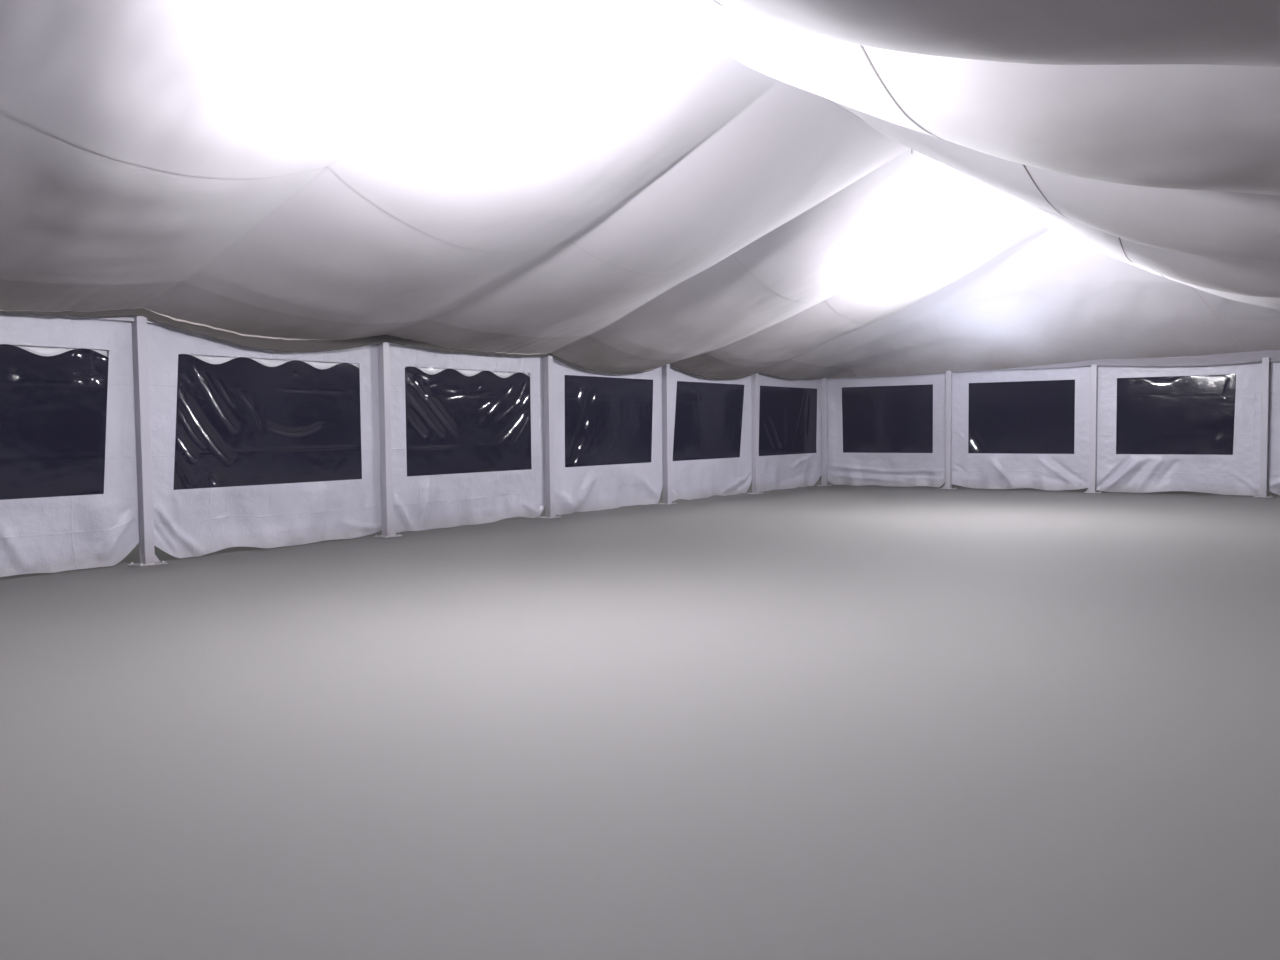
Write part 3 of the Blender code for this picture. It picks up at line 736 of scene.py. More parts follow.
def plain_floor(name, colour):
    """Matt studio floor paint, which falls off into the dark around the tent."""
    material, tree, place = new_material(name)
    away = add(tree, "ShaderNodeVectorMath", {0: place}, operation="LENGTH")["Value"]
    painted = tree.nodes["Principled BSDF"].outputs[0]
    clear = add(tree, "ShaderNodeBsdfTransparent")[0]
    fade = ramp(tree, away, FLOOR_FADE, FLOOR_RADIUS - 0.2, 0.0, 1.0, "SMOOTHSTEP")
    both = add(tree, "ShaderNodeMixShader", {0: fade, 1: painted, 2: clear})[0]
    fill(tree, tree.nodes["Material Output"], {"Surface": both})
    return finished(material, {"Base Color": colour, "Roughness": 0.8})


def materials(context):
    """The tent's materials by short names, each built the first time it is asked for."""
    colours = context.scene.marquee_colours
    recipes = {
        "steel": ("powder-coated steel", coated_steel, colours.steel),
        "wall": ("PVC-coated wall cloth", coated_cloth, colours.wall, 0.22, 0.45),
        "roof": ("PVC-coated roof cover", coated_cloth, colours.roof, 0.01, 0.38),
        # The lining's second colour is painted shade towards the eaves
        "lining": ("woven polyester lining", lining_cloth, colours.lining, colours.eave),
        # Painted shade: the hem band under the lining's edge is drawn dark where it hangs in shade
        "hem": ("folded lining hem", lining_cloth, *[linear("#4C4846")] * 2),
        # Painted shadow: the right slope's seam tapes are drawn dark for the shadow along each seam
        "seam_shadow": ("sewn seam tape", lining_cloth, *[linear("#625D5A")] * 2),
        "end hem": ("lining hem at the ends", lining_cloth, *[linear("#8B8890")] * 2),
        "edging": ("lining edge tape", lining_cloth, *[linear("#B9B2AC")] * 2),
        # Its second colour greys it towards the eaves: painted shade, as on the lining
        "tape": ("faded seam tape", lining_cloth, linear("#C6C3C8"), linear("#878079")),
        "film": ("clear PVC film", clear_film, colours.film),
    }
    return {
        key: bpy.data.materials.get(name) or build(name, *values)
        for key, (name, build, *values) in recipes.items()
    }


# Shapes that follow the frame


def lining_at_frame(x):
    """The lining's height where a portal frame carries it."""
    change = np.minimum(1.0, LINING_X - np.abs(x))
    hang = LINING_HANG_EAVE + (LINING_HANG - LINING_HANG_EAVE) * change
    return BEAM_TOP + SIDE_SLOPE * (OUTER_X - np.abs(x)) - hang


def slope_lining(x, y, belly):
    """The height of a slope's lining, which bellies down between the portal frames."""
    right = np.mean(x) > 0
    given = {key: np.array(values) for key, values in (LINING_RIGHT if right else LINING_LEFT).items()}
    s = np.abs(x) / LINING_X
    along = np.clip((y + LAST_FRAME) / BAY, 0, BAYS - 2 - 1e-9)
    bay = np.floor(along).astype(int)
    t = along - bay
    # The belly's profile down the slope, as the photograph shows it on each side
    if right:
        share = np.sin(np.pi * (0.68 * s + 0.10 * smooth(0.0, 0.08, s) + 0.09 * s**4))
        share = share ** given["sharpness"][bay]
    else:
        flat = given["flat"][bay]
        share = np.sin(np.pi * np.sqrt(0.75 * s)) * (1 - 0.6 * np.exp(-s / 0.14))
        share = share * np.where(flat > 0, smooth(0.02, np.maximum(flat, 0.1), s), 1.0)
    depth = given["belly"][bay] * share
    depth = depth + (given["dip"][bay] - depth) * smooth(0.45, 1.0, s)
    hang, edge = (given[key][bay] * (1 - t) + given[key][bay + 1] * t for key in ("hang", "edge"))
    fall = depth * 4 * t * (1 - t) + hang * np.sin(np.pi * s)
    return lining_at_frame(x) - belly * fall - edge * smooth(0.5, 1.0, s)


def hip_lining(x, y):
    """The height of an end's lining, from the last portal frame down to the end beam."""
    reach = LINING_Y + TOUCH - LAST_FRAME
    out = np.clip((np.abs(y) - LAST_FRAME) / reach, 0.0, 1.0)
    far = 1 if np.mean(y) > 0 else -1
    foot = BEAM_TOP - HEM_DROP_AT_END - HEM_SWAG * arch(np.abs(x) / END_BAY % 1)
    side = lining_at_frame(x)
    ridge = lining_at_frame(0.0)
    hip = ridge + (foot - ridge) * out
    rounding = np.maximum(HIP_ROUNDING * np.minimum(1.0, 3 * out) * np.minimum(1.0, 3 * (1 - out)), 1e-9)
    near = np.maximum(rounding - np.abs(side - hip), 0.0)
    whole = np.minimum(side, hip) - near * near / (4 * rounding) - BELLY_HIP * arch(out)
    # It joins the slopes' linings as they hang at the last frame
    frame_y = LAST_FRAME * far * (1 - 1e-9) + 0 * x
    slopes = [slope_lining(sign * np.abs(x), frame_y, 1.0) for sign in (1, -1)]
    joined = np.minimum(side - np.where(x > 0, *slopes), 0.4)
    whole = whole - joined * (1 - out) ** 2
    if far < 0:
        return whole
    return whole - np.interp(x, np.linspace(-LINING_X, LINING_X, len(EDGE_FAR)), EDGE_FAR) * out


def roof_surface(x, y):
    """The height of the roof cover's top."""
    over = BEAM_TOP + ROOF_THICKNESS + RAFTER_DEPTH + 2 * TOUCH
    return over + np.minimum(SIDE_SLOPE * (OUTER_X - np.abs(x)), HIP_SLOPE * (OUTER_Y - np.abs(y)))


def slope_sag(x, y, depth):
    """How far a side slope of the roof cover dips between two frames."""
    between = np.abs(np.sin(np.pi * (y + HALF_LENGTH) / BAY))
    share = np.clip(np.abs(x) / OUTER_X, 0, 1)
    past_hip = np.maximum(np.abs(y) - RIDGE_Y, 0) / (OUTER_Y - RIDGE_Y)
    clear = np.clip((share - past_hip) * 3, 0, 1)
    return depth * between * np.sin(np.pi * np.clip(share, 0.02, 0.98)) ** 0.5 * clear


def hip_sag(x, y, depth):
    """How far an end slope of the roof cover dips between its hips."""
    out = np.clip((np.abs(y) - RIDGE_Y) / (OUTER_Y - RIDGE_Y), 1e-6, 1)
    t = np.clip(np.abs(x) / (OUTER_X * out), 0, 1)
    return depth * arch(t) * out * np.sin(np.pi * np.clip(out, 0, 0.97)) ** 0.5


def divided(edges, step):
    """Distances from the first edge to the last, about a step apart, and which cells lie in odd stretches."""
    values, odd = [edges[0]], []
    for i, (low, high) in enumerate(zip(edges, edges[1:])):
        count = max(2, round((high - low) / step))
        values += list(np.linspace(low, high, count + 1)[1:])
        odd += [i % 2 == 1] * count
    return np.array(values), np.array(odd)


class Wall:
    """A run of wall panels: where it stands, its windows, and how its cloth is rumpled."""

    def __init__(self, name, along_x, side, start, bay, bays, seed):
        self.name, self.along_x, self.side = name, along_x, side
        self.start, self.bay, self.bays, self.seed = start, bay, bays, seed
        self.window = WINDOW_END if along_x else WINDOW_SIDE
        self.head = HEAD_END if along_x else HEAD_SIDE
        self.plane = OUTER_Y if along_x else OUTER_X
        low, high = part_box("wall_" + name)
        self.ends = (low.x, high.x) if along_x else (low.y, high.y)
        self.top = high.z
        self.draw = np.zeros((bays, 4))
        for bay_number, drawn in WINDOW_DRAW.get(name, {}).items():
            self.draw[bay_number] = drawn
        random = np.random.default_rng(seed)
        self.lifts = random.uniform(0.03, 0.15, (bays, 2))
        self.reach = random.uniform(0.12, 0.30, (bays, 2))
        for bay_number, (lift, reach) in LIFTS.get(name, {}).items():
            self.lifts[bay_number], self.reach[bay_number] = lift, reach

    def locate(self, along):
        """The bay of each point, and its distance from the bay's start."""
        bay = np.clip(np.floor((along - self.start) / self.bay).astype(int), 0, self.bays - 1)
        return bay, along - self.start - bay * self.bay

    def gap(self, along):
        """The distance of each point from the nearest leg."""
        _, part = self.locate(along)
        return np.minimum(part, self.bay - part)

    def free(self, along):
        """0 at the legs and 1 well away from them."""
        return smooth(0.06, 0.5, self.gap(along))

    def bottom(self, along):
        """The height of the hem, which is lifted beside the legs."""
        bay, part = self.locate(along)
        part = np.clip(part, 0.0, self.bay)
        wave = np.maximum(soft_noise(along, 0.0, 0.9, self.seed + 5), 0.0)
        height = HEM_HEIGHT + 0.026 * wave * self.free(along)
        for end, away in enumerate((part, self.bay - part)):
            height = height + self.lifts[bay, end] * np.clip(1 - away / self.reach[bay, end], 0, 1) ** 1.3
        return height

    def out(self, along, z, height):
        """How far the cloth stands out from the legs' outer faces."""
        free = self.free(along)
        loose = free * smooth(2.34, 1.3, z)
        low = smooth(0.75, 0.0, z)
        swell = soft_noise(along, z * 0.6, 1.3, self.seed + 1)
        folds = soft_noise(along, z * 0.45, 0.42, self.seed + 2)
        small = soft_noise(along, z, 0.16, self.seed + 3)
        value = height * loose * (0.35 * swell + (0.20 + 0.7 * low) * folds)
        value = value + 0.0018 * small * smooth(2.4, 2.2, z) + height * low * 0.8 * free
        shown = FOLDS.get(self.name, ())
        for bay, start, end, width, stands in shown:
            first = self.start + bay * self.bay
            value = value + crease(along - first, z, start, end, width, stands)
        random = np.random.default_rng(self.seed + 4)
        for bay in range(self.bays):
            part = along - self.start - bay * self.bay
            for level in FOLD_LEVELS:
                level = level + random.uniform(-0.03, 0.03)
                rise = random.uniform(-0.04, 0.04)
                ends = ((0.1, level - rise), (self.bay - 0.1, level + rise))
                value = value + crease(part, z, *ends, 0.010, random.uniform(-0.004, 0.004))
            if any(bay == fold[0] for fold in shown):
                continue
            for _ in range(7):
                corner, way = (0.04, 1) if random.random() < 0.5 else (self.bay - 0.04, -1)
                end = (corner + way * random.uniform(0.35, 1.1), random.uniform(0.05, 0.7))
                start = (corner, random.uniform(0.05, 0.4))
                width, stands = random.uniform(0.03, 0.06), random.uniform(-0.04, 0.02)
                value = value + crease(part, z, start, end, width, stands)
        value = np.maximum(value, -0.09 * np.maximum(loose, smooth(0.04, 0.2, self.gap(along)) * low))
        # The film's welded border holds the cloth flat round each window
        _, part = self.locate(along)
        beside = np.maximum(self.window[0] - part, part - self.window[1])
        beyond = np.maximum(SILL - z, z - self.head)
        away = np.hypot(np.maximum(beside, 0.0), np.maximum(beyond, 0.0))
        return value * (0.15 + 0.85 * smooth(0.0, 0.16, away))

    def points(self, along, z, height, offset=0.0, calm=0.0):
        """Places on the cloth for flat coordinates, with the drawn windows and the hem's lift."""
        out = 0.003 + self.out(along, z, height) * (1 - calm) + offset
        bay, part = self.locate(along)
        left, right = self.window
        up = np.clip((z - SILL) / (self.head - SILL), 0.0, 1.0)
        near_first = np.interp(part, (0, left, right), (0, 1, 0))
        near_last = np.interp(part, (left, right, self.bay), (0, 1, 0))
        drawn = self.draw[bay]
        first = drawn[..., 0] * up + drawn[..., 1] * (1 - up)
        last = drawn[..., 2] * up + drawn[..., 3] * (1 - up)
        moved = (near_first * first + near_last * last) * smooth(0.0, 0.4, z)
        moved = along + moved * smooth(self.top, self.head, z)
        rise = self.bottom(along)
        high = np.where(z < SILL, rise + z * (SILL - rise) / SILL, z)
        across = self.side * (self.plane + out)
        return (moved, across, high) if self.along_x else (across, moved, high)


def wall_runs():
    return [
        Wall("left", False, -1, -HALF_LENGTH, BAY, BAYS, 11),
        Wall("right", False, 1, -HALF_LENGTH, BAY, BAYS, 23),
        Wall("far", True, 1, -HALF_WIDTH, END_BAY, END_BAYS, 37),
        Wall("near_left", True, -1, -HALF_WIDTH, END_BAY, 1, 41),
        Wall("near_right", True, -1, HALF_WIDTH - END_BAY, END_BAY, 1, 53),
    ]


# Settings


def factor(name, description):
    return bpy.props.FloatProperty(
        name=name, description=description, default=1.0, min=0.0, max=1.1, subtype="FACTOR"
    )


def length(name, description, default):
    return bpy.props.FloatProperty(name=name, description=description, default=default, unit="LENGTH")


def colour(name, description, code):
    return bpy.props.FloatVectorProperty(
        name=name, description=description, subtype="COLOR", size=4, default=linear(code)
    )


class MarqueeSizes(bpy.types.PropertyGroup):
    belly: factor("Belly", "Depth of the lining's bellies, as a share of the measured depth")
    hem_band: length("Hem band", "Height of the band that hangs from the lining's edge", 0.10)
    rumple: length("Rumple", "How far the wall panels swell and fold", 0.035)
    film_crease: factor("Window creases", "Height of the windows' creases, as a share of the measured height")
    scallop: length("Scallop", "Depth of the valance's scallops to each side of their mean", 0.045)
    rise: length("Valance rise", "How far the valance is drawn up where it hangs clear of the windows", 0.085)
    lean: length("Valance lean", "How far the valance's lower edge hangs in towards the walls", 0.085)
    flutter: length("Flutter", "How far the valance's lower edge swings to and fro", 0.012)
    roof_sag: length("Roof sag", "How far the roof cover dips between two frames", 0.045)
    flap: length("Flap", "Width of the flaps over the roof's laced joints", 0.18)


class MarqueeColours(bpy.types.PropertyGroup):
    steel: colour("Steel", "Powder coat", "#AFADB6")
    wall: colour("Walls", "Wall panels", "#B6B5C0")
    roof: colour("Roof", "Roof cover and valance", "#E6E5EA")
    lining: colour("Lining", "Lining cloth", "#CFCCD2")
    # Painted shade: the lining is drawn towards this colour near the eaves
    eave: colour("Lining at the eaves", "Lining near its hem", "#857E7A")
    film: colour("Windows", "Clear film", "#443C66")
    floor: colour("Floor", "Studio floor", "#6E6D6B")


# Operators


class MARQUEE_OT_steelwork(bpy.types.Operator):
    """Rounds the edges of the legs, beams and rafters and gives them their powder coat"""

    bl_idname = "marquee.steelwork"
    bl_label = "Steelwork"

    def execute(self, context):
        coat = materials(context)["steel"]
        names = [row["node"] for row in frame["record"]["subparts"] if row["material_slot"] == "white_steel"]
        for name in names:
            mesh = frame["nodes"][name].data.copy()
            mesh.name = "steel_" + name
            shape = bmesh.new()
            shape.from_mesh(mesh)
            bmesh.ops.remove_doubles(shape, verts=shape.verts, dist=0.00005)
            bmesh.ops.dissolve_limit(shape, angle_limit=0.01, verts=shape.verts, edges=shape.edges)
            shape.to_mesh(mesh)
            shape.free()
            obj = new_object("steel_" + name, mesh, coat)
            bevel = obj.modifiers.new("rounded edges", "BEVEL")
            bevel.width = STEEL_ROUNDING
            bevel.segments = 2
            bevel.limit_method = "ANGLE"
            bevel.angle_limit = math.radians(40)
            finish_piece(obj, [name])
        return {"FINISHED"}


class MARQUEE_OT_fittings(bpy.types.Operator):
    """Adds the gussets and pins on the base plates"""

    bl_idname = "marquee.fittings"
    bl_label = "Fittings"

    def execute(self, context):
        coat = materials(context)["steel"]
        feet = [(side * HALF_WIDTH, y, 0.0) for side in (-1, 1) for y in FRAME_YS]
        feet += [(sx * HALF_WIDTH, sy * HALF_LENGTH, 0.0) for sx in (-1, 1) for sy in (-1, 1)]
        feet += [(x, side * HALF_LENGTH, math.pi / 2) for side in (-1, 1) for x in END_LEG_XS]
        plates = [((x, y, 0.0), (0.0, 0.0, turn)) for x, y, turn in feet]
        repeated("foot_gussets", coat, plates, self.gusset)
        spots = []
        for x, y, turn in feet:
            for v in (-PIN_ALONG, PIN_ALONG):
                for u in (-PIN_ACROSS, PIN_ACROSS):
                    dx, dy = (u, v) if turn == 0.0 else (v, u)
                    spots.append(((x + dx, y + dy, PLATE_TOP + PIN_HEIGHT / 2), (0.0, 0.0, 0.0)))
        repeated("foot_pins", coat, spots, self.pin, 0.1)
        return {"FINISHED"}

    @staticmethod
    def gusset(shape):
        """A triangle of plate between a base plate and the inner face of its leg."""
        face = LEG / 2 + TOUCH
        outline = ((face, PLATE_TOP), (LEG / 2 + 0.08, PLATE_TOP), (face, 0.13))
        sides = [[shape.verts.new((x, y, z)) for y, z in outline] for x in (-0.004, 0.004)]
        shape.faces.new(sides[0])
        shape.faces.new(sides[1][::-1])
        for i in range(3):
            j = (i + 1) % 3
            shape.faces.new((sides[0][j], sides[0][i], sides[1][i], sides[1][j]))

    @staticmethod
    def pin(shape):
        cone(shape, 12, 0.016, 0.010, PIN_HEIGHT)


class MARQUEE_OT_lining(bpy.types.Operator):
    """Hangs the lining under the rafters, with its bellies, seams, hem bands and ties"""

    bl_idname = "marquee.lining"
    bl_label = "Lining"

    def execute(self, context):
        sizes = context.scene.marquee_sizes
        made = materials(context)
        for name, side, given in (("left", -1, LINING_LEFT), ("right", 1, LINING_RIGHT)):
            across = np.linspace(TOUCH, LINING_X, 151)
            along = np.linspace(TOUCH - LAST_FRAME, LAST_FRAME - TOUCH, 501)
            x, y = np.meshgrid(side * across, along)
            z = self.slope(x, y, sizes.belly)
            fabric = [patch(x, y, z, x * LINING_SIDE_RUN, y)]
            piece = cloth("lining_cloth_" + name, made["lining"], fabric, ["lining_" + name])
            # On the right the seam tapes are dark, as painted shadow of the seams
            self.seams(name, side, given["seam"], sizes.belly, made["seam_shadow" if side > 0 else "tape"])
            band = sizes.hem_band * np.interp(along, np.linspace(-6, 6, BAYS - 2), given["hem"])
            edge = np.full(len(along), side * (LINING_X - 0.002))
            # The hem band's dark colour is painted shade
            self.hem(name, edge, along, z[:, -1], made["hem"], band)
            # A pale tape edges the lining, and shows where the hem rolls up
            rolled = np.interp(along, *zip(*EDGING))
            self.hem("edge_" + name, edge - side * 0.016, along, z[:, -1] + 0.001, made["edging"], rolled)
        for name, side in (("near", -1), ("far", 1)):
            across = np.linspace(-LINING_X, LINING_X, 271)
            along = np.linspace(LAST_FRAME + TOUCH, LINING_Y, 91) * side
            x, y = np.meshgrid(across, along)
            z = self.end(x, y)
            fabric = [patch(x, y, z, x, y * LINING_END_RUN)]
            piece = cloth("lining_cloth_" + name, made["lining"], fabric, ["lining_" + name])
            shares = HEM_FAR if side > 0 else (0.25, 0.25)
            band = sizes.hem_band * np.interp(across, np.linspace(-LINING_X, LINING_X, len(shares)), shares)
            place = np.full(len(across), along[-1] - side * 0.002)
            self.hem(name, across, place, z[-1], made["end hem"], band)
        # A seam of the far end, from near the ridge to the end beam
        y, x = np.meshgrid(np.linspace(LAST_FRAME + 0.15, LINING_Y - 0.1, 90), np.linspace(-0.006, 0.006, 3))
        x = x + FAR_SEAM + FAR_SEAM_TURN * (y - LAST_FRAME)
        tape = [patch(x, y, self.end(x, y) - 0.003, x, y)]
        piece = cloth("lining_seam_far", made["edging"], tape)
        places = [((0.0, y, (LINING_RIDGE + TIE_TOP) / 2), (0.0, 0.0, 0.0)) for y in FRAME_YS]
        repeated("lining_ties", made["tape"], places, self.tie)
        return {"FINISHED"}

    @staticmethod
    def tie(shape):
        cone(shape, 10, 0.012, 0.006, 0.08)

    def slope(self, x, y, belly):
        """A slope's lining with the small unevenness of slack cloth."""
        free = np.sqrt(np.clip(arch((y + LAST_FRAME) / BAY % 1), 0, 1)) * smooth(0.0, 0.4, np.abs(x))
        seed = 61 if np.mean(x) < 0 else 67
        z = slope_lining(x, y, belly) + 0.006 * free * soft_noise(x, y, 0.9, seed)
        z = z + 0.001 * free * soft_noise(x * 0.5, y, 0.22, seed + 1)
        # Small tucks run up from the edge, gathered at each tie
        tucks = soft_noise(y, 0.0, 0.16, seed + 2) * smooth(4.4, 5.3, np.abs(x))
        return z + 0.004 * tucks * np.sqrt(free)

    def end(self, x, y):
        """An end's lining with the small unevenness of slack cloth."""
        free = np.clip(arch((np.abs(y) - LAST_FRAME) / (LINING_Y - LAST_FRAME)), 0, 1)
        z = hip_lining(x, y) + 0.012 * free * soft_noise(x, y, 0.8, 71)
        return z + 0.003 * free * soft_noise(x, y * 0.6, 0.25, 72)

    def seams(self, name, side, seam, belly, material):
        """Narrow tapes along the slope, over the seams between two widths of cloth; on the right slope they
        are drawn dark, as painted shadow of the seams.
        """
        tapes = []
        for centre, half, drift in ((seam, 0.009, 0.10), (side * SEAM_EAVE, 0.005, 0.0)):
            x, y = np.meshgrid(np.linspace(centre - half, centre + half, 3), np.linspace(-7.49, 7.49, 500))
            x = x + drift * np.sin(y * 0.7 + 0.6)
            tapes.append(patch(x, y, self.slope(x, y, belly) - 0.003, x, y))
        piece = cloth("lining_seams_" + name, material, tapes)

    def hem(self, name, x, y, edge, material, height):
        """The band that hangs from the lining's edge along one side."""
        share = np.linspace(0.0, 1.0, 7)[:, None]
        z = edge + 0.004 - height * share
        inward = np.abs(0.012 * share * soft_noise(x + y, share, 0.6, 83)) * np.minimum(1.0, height / 0.10)
        along_y = np.ptp(x) == 0
        if along_y:
            x = x - np.sign(x[0]) * inward
            y = y + 0 * z
        else:
            x = x + 0 * z
            y = y - np.sign(y[0]) * inward
        along = y if along_y else x
        thick = 0.0 if "edge" in name else 0.003
        band = [patch(x, y, z, along, z)]
        piece = cloth("lining_hem_" + name, material, band, thickness=thick)


class MARQUEE_OT_walls(bpy.types.Operator):
    """Hangs the wall panels, with their window openings, folds and lifted hems"""

    bl_idname = "marquee.walls"
    bl_label = "Wall panels"

    def execute(self, context):
        rumple = context.scene.marquee_sizes.rumple
        cover = materials(context)["wall"]
        for wall in wall_runs():
            sides = [wall.start + bay * wall.bay + edge for bay in range(wall.bays) for edge in wall.window]
            columns, glazed_columns = divided([wall.ends[0], *sides, wall.ends[1]], WALL_STEP)
            rows, glazed_rows = divided([0.0, SILL, wall.head, wall.top], WALL_STEP)
            along, z = np.meshgrid(columns, rows)
            keep = ~(glazed_rows[:, None] & glazed_columns[None, :])
            panels = [patch(*wall.points(along, z, rumple), along, z)]
            replaced = ["wall_" + wall.name]
            piece = cloth("wall_panels_" + wall.name, cover, panels, replaced, keep=keep)
            if wall.bays > 1:
                self.flaps(wall, rumple, cover)
        return {"FINISHED"}

    def flaps(self, wall, rumple, cover):
        """Strips over the laced joints between two panels, outside."""
        strips = []
        for i in range(1, wall.bays):
            from_joint, z = np.meshgrid(np.linspace(-0.05, 0.05, 5), np.linspace(0.03, wall.top - 0.005, 60))
            along = wall.start + i * wall.bay + from_joint
            offset = 0.006 - 0.04 * np.abs(from_joint)
            strips.append(patch(*wall.points(along, z, rumple, offset), along, z))
        piece = cloth("panel_flaps_" + wall.name, cover, strips, thickness=0.0015)


class MARQUEE_OT_windows(bpy.types.Operator):
    """Sets the clear film in the window openings, drawn into creases from its corners"""

    bl_idname = "marquee.windows"
    bl_label = "Windows"

    def execute(self, context):
        sizes = context.scene.marquee_sizes
        film = materials(context)["film"]
        for wall in wall_runs():
            panes = []
            left, right = wall.window
            width, height = right - left, wall.head - SILL
            for bay, step in zip(range(wall.bays), FILM_STEPS.get(wall.name, (0.024,) * BAYS)):
                first = wall.start + bay * wall.bay + left
                p, q = np.meshgrid(
                    np.linspace(-0.02, width + 0.02, round(width / step)),
                    np.linspace(-0.02, height + 0.02, round(height / step)),
                )
                edge = np.minimum(np.minimum(p, width - p), np.minimum(q, height - q))
                creases = self.creases(wall, bay, p, q, width, height) * sizes.film_crease
                offset = 0.003 + creases * smooth(0.0, 0.04, edge)
                calm = (0.9 if wall.along_x else 0.6) * smooth(0.0, 0.3, edge)
                place = wall.points(first + p, SILL + q, sizes.rumple, offset, calm)
                panes.append(patch(*place, first + p, q))
            piece = cloth("window_film_" + wall.name, film, panes, ["windows_" + wall.name])
        return {"FINISHED"}

    def creases(self, wall, bay, p, q, width, height):
        """Relief of one window's film: the photograph's creases, or for others bundles from their corners."""
        random = np.random.default_rng(wall.seed * 10 + bay)
        unevenness = 0.4 if wall.name == "far" else 1.0
        total = 0.0015 * soft_noise(p, q, 0.7, wall.seed + bay)
        total = (total + 0.0003 * soft_noise(p, q, 0.15, wall.seed + bay + 9)) * unevenness
        streaks = [streak[1:] for streak in STREAKS.get(wall.name, ()) if streak[0] == bay]
        if not streaks and (wall.name != "far" or bay == 3):
            for corner in random.permutation([(1, height), (-1, height), (1, 0.0)])[: random.integers(1, 3)]:
                way, top = corner
                for _ in range(6):
                    start = (width / 2 - way * (width / 2 - random.uniform(0.02, 0.4)), top)
                    angle = math.radians(random.uniform(40, 65))
                    length = random.uniform(0.3, 0.8)
                    down = -1 if top else 1
                    end = (start[0] + way * length * math.cos(angle), top + down * length * math.sin(angle))
                    across, steep = random.uniform(0.014, 0.024), random.uniform(0.15, 0.35)
                    streaks.append((start, end, across, steep, 0.01))
        if not streaks:
            return total
        for start, end, across, steep, *bow in streaks:
            # A smooth ridge is at its steepest where its flank rises 0.86 of its height in its width
            total = total + crease(p, q, start, end, across, steep * across / 0.86, *bow)
        for level in (0.38, 1.03):
            level = level + random.uniform(-0.02, 0.02)
            total = total + crease(p, q, (0.0, level), (width, level), 0.010, random.uniform(0.0005, 0.0015))
        return total


class MARQUEE_OT_roof(bpy.types.Operator):
    """Lays the roof cover over the rafters, with the flaps over its laced joints"""

    bl_idname = "marquee.roof"
    bl_label = "Roof cover"

    def execute(self, context):
        sizes = context.scene.marquee_sizes
        cover = materials(context)["roof"]
        past_ridge = ROOF_Y - RIDGE_Y
        for name, side in (("left", -1), ("right", 1)):
            x, t = np.meshgrid(np.linspace(TOUCH, ROOF_X, 61), np.linspace(-1.0, 1.0, 301))
            y = t * (RIDGE_Y + past_ridge * x / ROOF_X)
            z = roof_surface(x, y) - slope_sag(x, y, sizes.roof_sag) - 0.001
            z = z - 0.004 * (1 + soft_noise(x, y, 0.7, 91)) * np.clip(slope_sag(x, y, 1.0), 0, 1)
            slope = [patch(side * x, y, z, x * ROOF_SIDE_RUN, y)]
            piece = cloth("roof_cover_" + name, cover, slope, ["roof_" + name], ROOF_CLOTH)
        for name, side in (("near", -1), ("far", 1)):
            out, u = np.meshgrid(np.linspace(0.0005, 1.0, 61), np.linspace(-1.0, 1.0, 161), indexing="ij")
            y = RIDGE_Y + past_ridge * out
            x = u * ROOF_X * out
            z = roof_surface(x, y) - hip_sag(x, y, sizes.roof_sag) - 0.001
            slope = [patch(x, side * y, z, x, y * ROOF_END_RUN)]
            piece = cloth("roof_cover_" + name, cover, slope, ["roof_" + name], ROOF_CLOTH)
        strips = [self.strip(sizes, (0.01 - ROOF_X, y), (ROOF_X - 0.01, y), (0, 1)) for y in FRAME_YS]
        strips.append(self.strip(sizes, (0, -RIDGE_Y), (0, RIDGE_Y), (1, 0)))
        for sx in (-1, 1):
            for sy in (-1, 1):
                dx, dy = sx * ROOF_X, sy * past_ridge
                size = math.hypot(dx, dy)
                end = (0.98 * dx, sy * RIDGE_Y + 0.98 * dy)
                strips.append(self.strip(sizes, (0.0, sy * RIDGE_Y), end, (-dy / size, dx / size)))
        piece = cloth("roof_flaps", cover, strips, thickness=ROOF_CLOTH)
        return {"FINISHED"}

    def strip(self, sizes, start, end, across):
        """A flap on the roof's surface from start to end in plan, with its width along across."""
        half = sizes.flap / 2
        t, w = np.meshgrid(np.linspace(0, 1, 60), np.linspace(-half, half, 7))
        x, y = (start[i] + (end[i] - start[i]) * t + across[i] * w for i in (0, 1))
        rise = 0.004 + 0.003 * np.cos(np.pi * w / (2 * half))
        sag = np.minimum(slope_sag(x, y, sizes.roof_sag), 0.01) * 0.3
        return patch(x, y, roof_surface(x, y) - sag + rise, t * 6, w)


